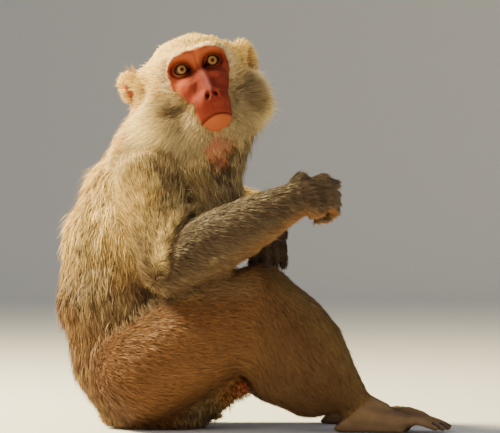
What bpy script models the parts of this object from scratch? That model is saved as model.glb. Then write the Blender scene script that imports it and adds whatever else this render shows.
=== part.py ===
"""A grown rhesus macaque that sits on its rump, its feet set down in front and its head turned to its
right.

Run it with blender --background --python part.py. It makes the body's solids, out to the tips of the
coat.

The frame is in metres: +X is the way the body faces, +Y its left side, +Z up, and the floor is Z = 0.
The sizes below are in millimetres, and MM turns them into metres as each shape is made.

The flesh is blocked out as masses, each an ellipsoid or a tapering limb, and each group of masses is
remeshed into one surface, smoothed and thinned. Thin cuts through the joints then part it into the
named pieces.
"""

import math

import bmesh
import bpy
import numpy as np
from mathutils import Matrix, Vector

MM = 0.001
GAP = 0.4  # between pieces that meet
SIDES = {"right": -1, "left": 1}

# Joints of the skeleton. The left limbs are placed on their own, as the pose isn't symmetric.
NECK_BASE = Vector((-60, 0, 276))
SHOULDER = {"right": Vector((-72, -58, 272)), "left": Vector((-52, 58, 274))}
ELBOW = {"right": Vector((-50, -106, 185)), "left": Vector((40, 90, 236))}
WRIST = {"right": Vector((92, -104, 260)), "left": Vector((52, 20, 226))}
HIP = {"right": Vector((-76, -54, 72)), "left": Vector((-76, 54, 72))}
KNEE = {"right": Vector((48, -84, 150)), "left": Vector((36, 84, 142))}
ANKLE = {"right": Vector((158, -82, 29)), "left": Vector((146, 86, 29))}

# The head turns about the midpoint between the fronts of the eyes.
EYE_MIDDLE = Vector((-20, -52, 410))
HEAD_TURN = 191  # degrees from +Y, so that it looks to its right
HEAD_LIFT = 2
HEAD_ROLL = 17.5
EYE_RADIUS = 9.8
EYE_SPACING = 36.5
EYE_DEPTH = 9.3  # from the front of the eye to its centre

# Thickness of the coated limbs at the places along them.
UPPER_ARM_RADII = (42, 37, 34)
FOREARM_RADII = (35, 37, 33, 22)
THIGH_RADII = (62, 62, 52, 40)
SHANK_RADII = (38, 47, 48, 33, 20)
WRIST_RADIUS = 18
ANKLE_RADIUS = 19

TAIL_ROUTE = ((-108, 18, 26), (-118, 48, 15), (-112, 84, 11), (-84, 112, 9.5), (-40, 122, 9), (2, 114, 7))
TAIL_RADII = (21, 7)
TAIL_MIDDLE = (-88, 108, 10)

# Hands and feet.
PALM_LENGTH = 35
PALM_SPACING = 10
FINGER_BONES = (23, 18, 12)
FINGER_RADIUS = 6.2
FOOT_FORWARD = 54  # ankle to the heads of the long foot bones
TOE_BONES = (24, 16, 10)
TOE_RADIUS = 6.0

VOXEL_BODY = 2.6
VOXEL_LIMB = 3.0
VOXEL_FINE = 1.3

BODY_FACES = 2640
ARM_FACES = 430
LEG_FACES = 480
TAIL_FACES = 170
HAND_FACES = 440
FOOT_FACES = 440
EAR_FACES = 190

COLOURS = {
    "flesh": (0.36, 0.24, 0.13),
    "hand": (0.20, 0.12, 0.08),
    "ear": (0.55, 0.24, 0.16),
    "eye": (0.75, 0.60, 0.30),
}


def cleared_scene():
    for obj in list(bpy.data.objects):
        bpy.data.objects.remove(obj)


def new_collection(name):
    made = bpy.data.collections.new(name)
    bpy.context.scene.collection.children.link(made)
    return made


def material(name, roughness):
    made = bpy.data.materials.new(name)
    made.use_nodes = True
    shader = made.node_tree.nodes["Principled BSDF"]
    shader.inputs["Base Color"].default_value = (*COLOURS[name], 1)
    shader.inputs["Roughness"].default_value = roughness
    return made


def head_matrix():
    """From the head's own frame (x to its right, y forward, z up, in mm) to the world in mm."""
    turn = Matrix.Rotation(math.radians(HEAD_TURN), 4, "Z")
    lift = Matrix.Rotation(math.radians(HEAD_LIFT), 4, "X")
    roll = Matrix.Rotation(math.radians(-HEAD_ROLL), 4, "Y")
    return Matrix.Translation(EYE_MIDDLE) @ roll @ turn @ lift


# ---- Masses and how they become one surface ----


def ellipsoid(centre, radii, matrix=None):
    """A ball stretched to three radii, placed in the world or in the frame of the matrix."""
    bm = bmesh.new()
    bmesh.ops.create_uvsphere(bm, u_segments=32, v_segments=20, radius=1)
    place = Matrix.Translation(Vector(centre)) @ Matrix.Diagonal((*radii, 1))
    place = Matrix.Scale(MM, 4) @ (matrix or Matrix()) @ place
    bm.transform(place)
    mesh = bpy.data.meshes.new("mass")
    bm.to_mesh(mesh)
    bm.free()
    return mesh


def tapering(points, radii):
    """A limb: a curve whose bevel follows the radii, with a ball on each end."""
    curve = bpy.data.curves.new("limb", "CURVE")
    curve.dimensions = "3D"
    curve.bevel_depth = MM
    curve.bevel_resolution = 6
    curve.use_fill_caps = True
    spline = curve.splines.new("POLY")
    spline.points.add(len(points) - 1)
    for at, point, radius in zip(spline.points, points, radii):
        at.co = (*(Vector(point) * MM), 1)
        at.radius = radius
    guide = bpy.data.objects.new("limb", curve)
    bpy.context.scene.collection.objects.link(guide)
    bpy.context.view_layer.update()
    graph = bpy.context.evaluated_depsgraph_get()
    mesh = bpy.data.meshes.new_from_object(guide.evaluated_get(graph))
    bpy.data.objects.remove(guide)
    balls = [ellipsoid(points[i], (radii[i],) * 3) for i in (0, -1)]
    return [mesh, *balls]


def joined(meshes):
    bm = bmesh.new()
    for mesh in meshes:
        bm.from_mesh(mesh)
        bpy.data.meshes.remove(mesh)
    bmesh.ops.remove_doubles(bm, verts=bm.verts, dist=1e-6)
    mesh = bpy.data.meshes.new("group")
    bm.to_mesh(mesh)
    bm.free()
    return mesh


def placed(name, mesh):
    obj = bpy.data.objects.new(name, mesh)
    bpy.context.scene.collection.objects.link(obj)
    return obj


def applied(obj):
    """The object with its modifiers made into its mesh."""
    bpy.context.view_layer.update()
    graph = bpy.context.evaluated_depsgraph_get()
    mesh = bpy.data.meshes.new_from_object(obj.evaluated_get(graph))
    obj.modifiers.clear()
    old = obj.data
    obj.data = mesh
    bpy.data.meshes.remove(old)
    return obj


def remeshed(name, masses, voxel, rounds):
    """One closed surface round all the masses, smoothed."""
    obj = placed(name, joined(masses))
    remesh = obj.modifiers.new("one surface", "REMESH")
    remesh.mode = "VOXEL"
    remesh.voxel_size = voxel * MM
    smooth = obj.modifiers.new("soft", "SMOOTH")
    smooth.factor = 0.5
    smooth.iterations = rounds
    return applied(obj)


def points_of(obj):
    points = np.empty(len(obj.data.vertices) * 3, np.float32)
    obj.data.vertices.foreach_get("co", points)
    return points.reshape(-1, 3).astype(float) / MM


def set_points(obj, points):
    obj.data.vertices.foreach_set("co", (points * MM).astype(np.float32).ravel())
    obj.data.update()


def smoothed_where(obj, weights, rounds):
    group = obj.vertex_groups.new(name="soft")
    for step in range(11):
        chosen = np.flatnonzero(np.round(weights * 10) == step)
        if step and len(chosen):
            group.add(chosen.tolist(), step / 10, "REPLACE")
    smooth = obj.modifiers.new("soft", "SMOOTH")
    smooth.factor = 0.5
    smooth.iterations = rounds
    smooth.vertex_group = "soft"
    applied(obj)
    obj.vertex_groups.clear()
    return obj


def thinned(obj, faces, spare=None):
    """The surface with about this many triangles. spare, from 0 to 1, keeps a vertex's triangles small."""
    obj.data.calc_loop_triangles()
    decimate = obj.modifiers.new("fewer faces", "DECIMATE")
    decimate.ratio = faces / len(obj.data.loop_triangles)
    decimate.use_collapse_triangulate = True
    if spare is not None:
        group = obj.vertex_groups.new(name="fine")
        for step in range(11):
            chosen = np.flatnonzero(np.round((1 - spare) * 10) == step)
            if len(chosen):
                group.add(chosen.tolist(), step / 10, "REPLACE")
        decimate.vertex_group = "fine"
        decimate.vertex_group_factor = 1
    applied(obj)
    obj.vertex_groups.clear()
    return obj


# ---- Cutting ----


def cut(obj, cutter):
    """Takes the cutter's room from the object.

    The exact solver can lose the whole object where faces nearly lie on each other. The manifold solver
    makes the cut then.
    """
    before = obj.data.copy()
    for solver in ("EXACT", "MANIFOLD"):
        boolean = obj.modifiers.new("cut", "BOOLEAN")
        boolean.operation = "DIFFERENCE"
        boolean.solver = solver
        boolean.object = cutter
        applied(obj)
        if obj.data.vertices:
            break
        obj.data = before.copy()
    bpy.data.meshes.remove(before)
    return obj


def largest(obj):
    """The object with only its biggest loose body, without the crumbs that a cut leaves."""
    bm = bmesh.new()
    bm.from_mesh(obj.data)
    bodies = loose_bodies(bm)
    for body in bodies[1:]:
        bmesh.ops.delete(bm, geom=body, context="VERTS")
    bm.to_mesh(obj.data)
    bm.free()
    return obj


def loose_bodies(bm):
    """Lists of vertices that hang together, the largest list first."""
    seen, bodies = set(), []
    for start in bm.verts:
        if start in seen:
            continue
        seen.add(start)
        body, edge = [], [start]
        while edge:
            vert = edge.pop()
            body.append(vert)
            for link in vert.link_edges:
                other = link.other_vert(vert)
                if other not in seen:
                    seen.add(other)
                    edge.append(other)
        bodies.append(body)
    return sorted(bodies, key=len, reverse=True)


def half_space(point, normal, reach=400):
    """A big box on the side of the plane that the normal points to."""
    bm = bmesh.new()
    bmesh.ops.create_cube(bm, size=2 * reach)
    turn = Vector(normal).to_track_quat("Z", "Y").to_matrix().to_4x4()
    place = Matrix.Translation(Vector(point)) @ turn @ Matrix.Translation((0, 0, reach))
    bm.transform(Matrix.Scale(MM, 4) @ place)
    mesh = bpy.data.meshes.new("half space")
    bm.to_mesh(mesh)
    bm.free()
    return placed("half space", mesh)


def trimmed(obj, point, normal):
    """The object without what lies on the side of the plane that the normal points to."""
    box = half_space(point, normal)
    cut(obj, box)
    bpy.data.objects.remove(box)
    return largest(obj)


def copied(obj, name):
    return placed(name, obj.data.copy())


def parted(obj, name_behind, name_ahead, point, normal):
    """Two objects, either side of a thin cut: the one behind the plane and the one ahead of it."""
    normal = Vector(normal).normalized()
    ahead = copied(obj, name_ahead)
    obj.name = name_behind
    trimmed(obj, Vector(point) - normal * GAP / 2, normal)
    trimmed(ahead, Vector(point) + normal * GAP / 2, -normal)
    return obj, ahead


def grown(obj):
    """A copy that is larger all round by a little more than the gap."""
    made = copied(obj, "cutter")
    normals = np.empty(len(made.data.vertices) * 3, np.float32)
    made.data.vertices.foreach_get("normal", normals)
    set_points(made, points_of(made) + normals.reshape(-1, 3) * GAP * 1.3)
    return made


def near(a, b):
    low = np.maximum(points_of(a).min(axis=0), points_of(b).min(axis=0))
    high = np.minimum(points_of(a).max(axis=0), points_of(b).max(axis=0))
    return (low < high + 2).all()


def make_room(obj, others):
    """Takes from the object the room that its neighbours fill, with the gap."""
    for other in others:
        if near(obj, other):
            cutter = grown(other)
            cut(obj, cutter)
            bpy.data.objects.remove(cutter)
    return largest(obj)


def bend_normal(joint, behind, ahead):
    """The normal of the plane that halves the bend at a joint."""
    return ((ahead - joint).normalized() - (behind - joint).normalized()).normalized()


def along(a, b, *shares):
    return [a.lerp(b, share) for share in shares]


# ---- Trunk, neck and head ----


def trunk_masses():
    return [
        ellipsoid((-58, 0, 262), (94, 80, 70)),  # chest and shoulders
        ellipsoid((-80, 0, 212), (95, 84, 80)),  # ribs
        ellipsoid((-94, 0, 150), (88, 84, 84)),  # loins
        ellipsoid((-84, 0, 92), (84, 80, 86)),  # pelvis
        ellipsoid((-65, 0, 38), (76, 68, 54)),  # seat
        ellipsoid((-34, 0, 132), (60, 68, 70)),  # belly
        *tapering(((-20, -2, 44), (8, -18, 48), (33, -40, 50)), (40, 28, 20)),  # groin
        *tapering(((-108, 4, 40), (-116, 22, 22)), (30, 17)),  # root of the tail
    ]


def neck_masses(to_head):
    nape = to_head @ Vector((0, -62, -34))
    throat = to_head @ Vector((0, -40, -70))
    return [
        *tapering((NECK_BASE + Vector((0, 0, 18)), nape), (68, 56)),
        *tapering((Vector((-30, -6, 280)), throat), (58, 52)),
    ]


def head_masses(to_head):
    masses = [
        ellipsoid((0, -46, -8), (56, 52, 49), to_head),  # skull
        ellipsoid((0, -16, 4), (46, 20, 22), to_head),  # forehead
        ellipsoid((0, -23, -16), (44, 24, 30), to_head),  # cheekbones
        ellipsoid((0, 5, -46), (25, 28, 20), to_head),  # muzzle
        ellipsoid((0, 1, -62), (23, 27, 17), to_head),  # chin
        ellipsoid((0, -24, -66), (46, 40, 30), to_head),  # jaw and beard
    ]
    bridge = [to_head @ Vector(p) for p in ((0, -4, 4), (0, 8, -16), (0, 20, -33))]
    masses += tapering(bridge, (9, 9, 8.5))
    for side in (-1, 1):
        masses.append(ellipsoid((side * 13, -3, -25), (18, 20, 20), to_head))  # upper jaw
        masses.append(ellipsoid((side * 40, -34, -50), (36, 30, 38), to_head))  # ruff
        masses.append(ellipsoid((side * 47, -50, 4), (16, 15, 15), to_head))  # temple
        brow = [(side * 36, -12, 4), (side * 26, -3, 13), (side * 12, 0, 14.5), (0, -2, 12)]
        masses += tapering([to_head @ Vector(p) for p in brow], (8, 8.5, 8.5, 8))
    return masses


def face_shaped(points, to_head):
    """Presses the eye sockets in, and fills out the lids round each eye."""
    own = np.array(to_head.inverted())
    local = points @ own[:3, :3].T + own[:3, 3]
    forward = np.array(to_head.to_3x3())[:, 1]
    for side in (-1, 1):
        across = local[:, 0] - side * EYE_SPACING / 2
        up = local[:, 2]
        front = local[:, 1] > -26
        ring = np.hypot(across / 15, up / 10.5)
        aim = -2.4 - 0.14 * np.maximum(across * side, 0)
        weight = np.exp(-(ring**3)) * front
        points = points + ((aim - local[:, 1]) * weight)[:, None] * forward
    return points


def body_group(to_head):
    """The trunk, neck and head as one thinned surface."""
    obj = remeshed(
        "body", trunk_masses() + neck_masses(to_head) + head_masses(to_head), VOXEL_BODY, 5
    )
    points = points_of(obj)
    own = np.array(to_head.inverted())
    local = points @ own[:3, :3].T + own[:3, 3]
    reach = np.linalg.norm(local - (0, -18, -22), axis=1)
    smoothed_where(obj, np.clip((reach - 50) / 50, 0, 1), 150)
    set_points(obj, face_shaped(points_of(obj), to_head))
    smoothed_where(obj, np.ones(len(obj.data.vertices)), 5)
    local = points_of(obj) @ own[:3, :3].T + own[:3, 3]
    reach = np.linalg.norm((local - (0, 4, -22)) / (1, 0.8, 1), axis=1)
    fine = np.clip((66 - reach) / 40, 0, 1) * 0.68
    return thinned(obj, BODY_FACES, fine)


def tail():
    """Laid on the floor, round the left hip. Its root end is cut flat to meet the trunk."""
    route = smooth_route(TAIL_ROUTE, 5)
    root, tip = TAIL_RADII
    radii = [root + (tip - root) * i / (len(route) - 1) for i in range(len(route))]
    obj = remeshed("tail", tapering(route, radii), VOXEL_LIMB, 3)
    return trimmed(thinned(obj, TAIL_FACES), (-112, 26, 20), (0.18, -1, 0.1))


def smooth_route(points, pieces):
    """Points along a Catmull-Rom curve through the given ones."""
    points = [Vector(p) for p in points]
    ends = [2 * points[0] - points[1], *points, 2 * points[-1] - points[-2]]
    route = []
    for a, b, c, d in zip(ends, ends[1:], ends[2:], ends[3:]):
        for i in range(pieces):
            t = i / pieces
            bend = (2 * a - 5 * b + 4 * c - d) * t**2 + (3 * b - a - 3 * c + d) * t**3
            route.append(0.5 * (2 * b + (c - a) * t + bend))
    return [*route, points[-1]]


# ---- Limbs ----


def arm(side):
    shoulder, elbow, wrist = SHOULDER[side], ELBOW[side], WRIST[side]
    beyond = wrist + (wrist - elbow).normalized() * 14
    upper = tapering(along(shoulder, elbow, 0, 0.5, 1), UPPER_ARM_RADII)
    fore = tapering([*along(elbow, wrist, 0, 0.3, 0.62, 0.97), beyond], [*FOREARM_RADII, WRIST_RADIUS])
    obj = thinned(remeshed("arm", upper + fore, VOXEL_LIMB, 14), ARM_FACES)
    inward = -SIDES[side]
    trimmed(obj, shoulder + Vector((0, inward * 12, 0)), (0, inward, -0.12))
    obj = trimmed(obj, wrist - (wrist - elbow).normalized() * GAP / 2, wrist - elbow)
    return parted(obj, f"{side}_upper_arm", f"{side}_forearm", elbow, bend_normal(elbow, shoulder, wrist))


def leg(side):
    hip, knee, ankle = HIP[side], KNEE[side], ANKLE[side]
    sideways = Vector((0, SIDES[side], 0))
    beyond = ankle + (ankle - knee).normalized() * 12
    thigh = tapering(along(hip, knee, 0, 0.5, 0.8, 1), THIGH_RADII)
    thigh.append(ellipsoid(hip.lerp(knee, 0.82) + Vector((4, 0, -28)), (52, 40, 46)))  # hamstring
    bones = along(knee, ankle, 0, 0.26, 0.5, 0.76, 1)
    drop = [Vector((0, 0, z)) for z in (2, 1, -2, -1, 0)]
    shank = tapering([*(b + d for b, d in zip(bones, drop)), beyond], [*SHANK_RADII, ANKLE_RADIUS])
    shank.append(ellipsoid(knee.lerp(ankle, 0.4) + Vector((-4, 0, -36)), (52, 35, 40)))  # calf
    shank.append(ellipsoid(knee.lerp(ankle, 0.72) + Vector((-22, 0, -22)), (38, 26, 26)))  # lower calf
    obj = thinned(remeshed("leg", thigh + shank, VOXEL_LIMB, 14), LEG_FACES)
    trimmed(obj, hip - sideways * 14, -sideways)
    obj = trimmed(obj, ankle - (ankle - knee).normalized() * GAP / 2, ankle - knee)
    trimmed(obj, (0, 0, 0), (0, 0, -1))
    return parted(obj, f"{side}_thigh", f"{side}_shank", knee, bend_normal(knee, hip, ankle))


def ray(start, directions, bones, radius):
    """A finger or toe: bones laid end to end, each with its own direction."""
    points = [start]
    for direction, bone in zip(directions, bones):
        points.append(points[-1] + direction.normalized() * bone)
    return points, [radius * (1.12 - 0.1 * i) for i in range(len(points))]


def hand(side, distal, dorsal, bends, thumb):
    """Four fingers and a thumb on a palm, its wrist cut for the forearm. Bends are degrees at each joint."""
    wrist, elbow = WRIST[side], ELBOW[side]
    distal = distal.normalized()
    radial = dorsal.cross(distal).normalized() * -SIDES[side]
    dorsal = (dorsal - distal * dorsal.dot(distal)).normalized()
    before = wrist - (wrist - elbow).normalized() * 16
    masses = tapering([before, wrist, wrist + distal * 10], (21, WRIST_RADIUS, 17))
    masses += tapering([wrist - radial * 5, wrist + distal * 15 - radial * 15], (16, 13))  # heel of the palm
    masses += tapering([wrist + radial * 8, wrist + distal * 8 + radial * 20], (14, 10.5))  # ball of the thumb
    for i in range(4):
        over = (1.5 - i) * PALM_SPACING
        knuckle = wrist + distal * (PALM_LENGTH - abs(i - 1) * 2.5) + radial * over
        masses += tapering([wrist + distal * 4 + radial * over * 0.45, knuckle], (11, 8.6))
        angle, directions = 0, []
        for bend in bends:
            angle += math.radians(bend)
            spread = radial * (1.5 - i) * 0.05
            directions.append(distal * math.cos(angle) - dorsal * math.sin(angle) + spread)
        size = (0.92, 1, 0.96, 0.8)[i]
        points, radii = ray(knuckle, directions, [b * size for b in FINGER_BONES], FINGER_RADIUS)
        masses += tapering(points, radii)
    base = wrist + distal * 8 + radial * 12 - dorsal * 6
    steps = [distal * a + radial * b + dorsal * c for a, b, c in thumb]
    points, radii = ray(base, steps, (17, 13, 9), 7)
    masses += tapering(points, radii)
    obj = thinned(remeshed(f"{side}_hand", masses, VOXEL_FINE, 4), HAND_FACES)
    return trimmed(obj, wrist + (wrist - elbow).normalized() * GAP / 2, elbow - wrist)


def foot(side):
    """A long flat foot: a heel, a sole, four toes and a great toe that stands off to the inside."""
    ankle, knee = ANKLE[side], KNEE[side]
    out = Vector((0, SIDES[side], 0))
    ahead = Vector((1, SIDES[side] * 0.07, 0)).normalized()
    before = ankle - (ankle - knee).normalized() * 16
    floor = Vector((ankle.x, ankle.y, 0))
    up = Vector((0, 0, 1))
    masses = tapering([before, ankle, floor + ahead * 26 + up * 21], (21, ANKLE_RADIUS, 15))
    masses += tapering([ankle + up * -6, floor - ahead * 18 + up * 13], (16, 14))
    for i in range(4):
        over = (i - 1.5) * 11.5
        head = floor + ahead * (FOOT_FORWARD - abs(i - 0.8) * 3.5) + out * over + up * 12
        masses += tapering([floor + ahead * 4 + out * over * 0.5 + up * 18, head], (15, 9.6))
        masses += tapering([floor - ahead * 14 + out * over * 0.35 + up * 10, head - up * 5], (11, 8))
        directions = [ahead + out * over * 0.006 + up * slope for slope in (0.12, -0.3, -0.5)]
        size = (0.96, 1, 0.95, 0.84)[i]
        points, radii = ray(head, directions, [b * size for b in TOE_BONES], TOE_RADIUS)
        masses += tapering(points, radii)
    great = floor + ahead * 20 - out * 14 + up * 11
    steps = [ahead - out * 0.85 - up * 0.06, ahead - out * 0.6 - up * 0.02, ahead - out * 0.3 - up * 0.12]
    points, radii = ray(great, steps, (20, 16, 12), 7.6)
    masses += tapering(points, radii)
    obj = thinned(remeshed(f"{side}_foot", masses, VOXEL_FINE, 4), FOOT_FACES)
    trimmed(obj, ankle + (ankle - knee).normalized() * GAP / 2, knee - ankle)
    return trimmed(obj, (0, 0, 0), (0, 0, -1))


# ---- Ears and eyes ----

EAR_HEIGHT = {"right": -3, "left": -7}

def ear(side, to_head):
    """A cupped blade that stands out from the side of the head, hollow towards the front."""
    outward = 1 if side == "right" else -1
    turn = Matrix.Rotation(math.radians(-outward * 34), 4, "Z")
    blade = Matrix.Translation((outward * 63, -57, EAR_HEIGHT[side])) @ turn
    place = to_head @ blade @ Matrix.Rotation(math.radians(outward * 8), 4, "Y")
    masses = [
        ellipsoid((0, 0, 0), (19, 7, 23), place),
        ellipsoid((outward * 6, -1, 9), (13, 6, 15), place),
    ]
    obj = remeshed(f"{side}_ear", masses, VOXEL_FINE, 3)
    bowl = placed("bowl", ellipsoid((outward * 1, 9, 0), (12.5, 10, 16.5), place))
    cut(obj, bowl)
    bpy.data.objects.remove(bowl)
    return thinned(largest(obj), EAR_FACES)


def eye(side, to_head):
    outward = 1 if side == "right" else -1
    bm = bmesh.new()
    bmesh.ops.create_uvsphere(bm, u_segments=14, v_segments=8, radius=EYE_RADIUS * MM)
    turn = Matrix.Rotation(math.radians(90), 4, "X")
    centre = to_head @ Vector((outward * EYE_SPACING / 2, -EYE_DEPTH, 0))
    bm.transform(Matrix.Translation(centre * MM) @ to_head.to_3x3().to_4x4() @ turn)
    mesh = bpy.data.meshes.new(f"{side}_eye")
    bm.to_mesh(mesh)
    bm.free()
    return placed(f"{side}_eye", mesh)


# ---- The whole animal ----


def main():
    cleared_scene()
    monkey = new_collection("macaque")
    to_head = head_matrix()
    to_own = to_head.to_3x3()

    eyes = [eye(side, to_head) for side in SIDES]
    hands = [
        hand(
            "right",
            Vector((0.93, 0.12, 0.2)),
            Vector((0.1, -0.86, 0.5)),
            (62, 78, 46),
            ((1, 0.25, 0.1), (1, -0.1, 0.1), (0.8, -0.4, -0.2)),
        ),
        hand(
            "left",
            Vector((0.16, -0.93, -0.24)),
            Vector((0.12, -0.2, 0.95)),
            (16, 34, 30),
            ((1, 0.8, -0.3), (1, 0.5, -0.3), (1, 0.1, -0.4)),
        ),
    ]
    feet = [foot(side) for side in SIDES]
    arms = [piece for side in SIDES for piece in arm(side)]
    legs = [piece for side in SIDES for piece in leg(side)]
    body = body_group(to_head)
    ears = [make_room(ear(side, to_head), [body]) for side in SIDES]

    done = eyes + hands + feet + ears
    for piece in arms:
        make_room(piece, hands + feet)
    for piece in legs:
        make_room(piece, hands + feet + arms)
    long_tail = make_room(tail(), legs)
    trimmed(long_tail, (0, 0, 0), (0, 0, -1))
    tail_root, tail_tip = parted(long_tail, "tail_root", "tail_tip", TAIL_MIDDLE, (0.8, 0.6, 0))
    trimmed(body, (0, 0, 0), (0, 0, -1))
    make_room(body, eyes + hands + arms + legs + [tail_root])
    trunk, above = parted(body, "trunk", "neck", NECK_BASE, (0.3, 0, 0.95))
    under_jaw = to_head @ Vector((0, -40, -72))
    neck, head = parted(above, "neck", "head", under_jaw, to_own @ Vector((0, 0.55, 0.83)))
    done += arms + legs + [tail_root, tail_tip, trunk, neck, head]

    flesh, palm = material("flesh", 0.9), material("hand", 0.7)
    pinna, gloss = material("ear", 0.8), material("eye", 0.15)
    looks = {"eye": gloss, "ear": pinna, "hand": palm, "foot": palm}
    centre = resting_centre(done)
    for obj in done:
        obj.data.transform(Matrix.Translation(-centre))
        obj.data.materials.clear()
        obj.data.materials.append(looks.get(obj.name.split("_")[-1], flesh))
        obj.data.shade_smooth()
        bpy.context.scene.collection.objects.unlink(obj)
        monkey.objects.link(obj)


def resting_centre(pieces):
    """The middle of the outline seen from above, on the floor: the model's origin."""
    points = np.concatenate([points_of(obj) for obj in pieces])
    middle = (points.min(axis=0) + points.max(axis=0)) / 2 * MM
    return Vector((middle[0], middle[1], 0))


main()
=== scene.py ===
# %% [markdown]
# # A sitting rhesus macaque, life size
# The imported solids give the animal's true outline, out to the tips of its hair. This lesson puts a
# living surface on them: one skin drawn in by the depth of the coat, eyes and nails of their own,
# and a coat of thin mesh tufts that follow the lie of the hair.

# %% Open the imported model
import math

import bmesh
import bpy
import numpy as np
from mathutils import Matrix, Vector
from mathutils.bvhtree import BVHTree


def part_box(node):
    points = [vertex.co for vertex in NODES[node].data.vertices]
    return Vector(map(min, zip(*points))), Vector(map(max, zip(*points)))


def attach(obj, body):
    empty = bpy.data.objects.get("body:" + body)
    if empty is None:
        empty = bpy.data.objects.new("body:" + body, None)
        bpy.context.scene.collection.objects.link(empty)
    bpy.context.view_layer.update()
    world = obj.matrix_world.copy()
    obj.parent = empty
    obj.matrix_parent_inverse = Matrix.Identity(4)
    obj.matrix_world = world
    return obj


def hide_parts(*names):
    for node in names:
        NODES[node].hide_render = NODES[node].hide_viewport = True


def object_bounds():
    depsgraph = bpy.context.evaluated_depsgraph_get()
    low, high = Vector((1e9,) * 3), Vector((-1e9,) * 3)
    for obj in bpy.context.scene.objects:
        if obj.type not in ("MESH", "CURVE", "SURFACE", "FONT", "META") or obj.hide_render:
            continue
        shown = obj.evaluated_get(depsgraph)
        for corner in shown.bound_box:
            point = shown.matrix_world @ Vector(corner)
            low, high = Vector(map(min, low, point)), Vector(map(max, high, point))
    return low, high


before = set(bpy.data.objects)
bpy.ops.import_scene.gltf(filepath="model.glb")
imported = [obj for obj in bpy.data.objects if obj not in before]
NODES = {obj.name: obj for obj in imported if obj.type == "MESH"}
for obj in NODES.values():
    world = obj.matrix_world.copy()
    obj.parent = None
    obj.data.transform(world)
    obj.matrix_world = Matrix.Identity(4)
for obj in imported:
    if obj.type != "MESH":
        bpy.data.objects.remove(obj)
CAD_LOW, CAD_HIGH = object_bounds()
MM = 0.001
print("solids", len(NODES), "box", [round(v, 3) for v in (*CAD_LOW, *CAD_HIGH)])

# %% [markdown]
# ## Camera, floor and light
# The camera stands level with the animal's chest and far away, so a long lens gives the flat
# perspective of a portrait taken across a clearing. The floor is a wide dish of pale paper whose
# rim bends up far away, so no horizon cuts the outline from any side. Three soft lamps: a warm one
# high behind the back edges it and the crown, a broad one on the camera's left fills the form, and
# a weak one on its right opens the shadows.

# %% Camera
VIEW_WIDTH = 0.56
VIEW_DISTANCE = 4.0
SENSOR_WIDTH = 36.0
VIEW_CENTRE = Vector((-0.003, -0.05, 0.240))
FARTHEST = 50


def link(thing):
    """Puts a new object in the scene and hands it back."""
    bpy.context.scene.collection.objects.link(thing)
    return thing


def aimed(thing, place, target):
    """Stands a lamp or camera at a place and turns it to look at a target."""
    thing.location = place
    direction = Vector(target) - Vector(place)
    thing.rotation_euler = direction.to_track_quat("-Z", "Y").to_euler()
    return thing


lens = bpy.data.cameras.new("portrait_lens")
lens.sensor_width = SENSOR_WIDTH
lens.lens = SENSOR_WIDTH * VIEW_DISTANCE / VIEW_WIDTH
lens.clip_end = FARTHEST
camera = link(bpy.data.objects.new("portrait_camera", lens))
aimed(camera, VIEW_CENTRE + Vector((0, -VIEW_DISTANCE, 0)), VIEW_CENTRE)
bpy.context.scene.camera = camera
print("lens", round(lens.lens, 1), "mm")

# %% Floor and lamps
DISH_FLAT = 6.3
DISH_RIM = 1.7
DISH_STEPS = 12
DISH_SIDES = 96
FLOOR_GREY = (0.78, 0.77, 0.75, 1)
AIR_COLOUR = (0.92, 0.93, 1.0, 1)
AIR_STRENGTH = 0.32


def dish_rings():
    """Radius and height of each ring of the floor, from the edge of its flat up the curved rim."""
    turns = [math.pi / 2 * step / DISH_STEPS for step in range(DISH_STEPS + 1)]
    return [(DISH_FLAT + DISH_RIM * math.sin(turn), DISH_RIM * (1 - math.cos(turn))) for turn in turns]


def plain_material(name, colour, roughness):
    """A Principled material of one colour."""
    made = bpy.data.materials.new(name)
    made.use_nodes = True
    shader = made.node_tree.nodes["Principled BSDF"]
    shader.inputs["Base Color"].default_value = colour
    shader.inputs["Roughness"].default_value = roughness
    return made


rings = dish_rings()
corners, tiles = [], []
for ring, (radius, rise) in enumerate(rings):
    for side in range(DISH_SIDES):
        turn = 2 * math.pi * side / DISH_SIDES
        corners.append((radius * math.cos(turn), radius * math.sin(turn), rise))
        if ring:
            after = (side + 1) % DISH_SIDES
            inner_ring, outer_ring = (ring - 1) * DISH_SIDES, ring * DISH_SIDES
            tiles.append((inner_ring + after, inner_ring + side, outer_ring + side, outer_ring + after))
tiles.append(tuple(range(DISH_SIDES)))
dish_mesh = bpy.data.meshes.new("paper_dish")
dish_mesh.from_pydata(corners, [], tiles)
dish_mesh.shade_smooth()
dish_mesh.materials.append(plain_material("pale_paper", FLOOR_GREY, 0.9))
link(bpy.data.objects.new("paper_dish", dish_mesh))

LAMPS = {
    "sun_side": ((-1.9, 0.35, 2.1), 0.8, 410, (1.0, 0.87, 0.46)),
    "broad_fill": ((-1.5, -2.6, 1.6), 1.6, 30, (1.0, 0.90, 0.76)),
    "low_fill": ((2.4, -2.0, 0.9), 1.8, 11, (0.96, 0.95, 0.98)),
}
for lamp_name, (place, side, watts, colour) in LAMPS.items():
    lamp = bpy.data.lights.new(lamp_name, "AREA")
    lamp.shape = "DISK"
    lamp.size = side
    lamp.energy = watts
    lamp.color = colour
    aimed(link(bpy.data.objects.new(lamp_name, lamp)), place, VIEW_CENTRE)
world = bpy.data.worlds.new("studio_air")
world.use_nodes = True
background = world.node_tree.nodes["Background"]
background.inputs["Color"].default_value = AIR_COLOUR
background.inputs["Strength"].default_value = AIR_STRENGTH
bpy.context.scene.world = world
print("lamps", len(LAMPS))

# %% [markdown]
# ## Finding the head
# Everything on the face is placed in the head's own frame: x towards the animal's right, y out
# through the nose and z up, with its origin between the fronts of the eyes. The two eye solids say
# where that is, and three named turns say how the head is held.

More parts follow.
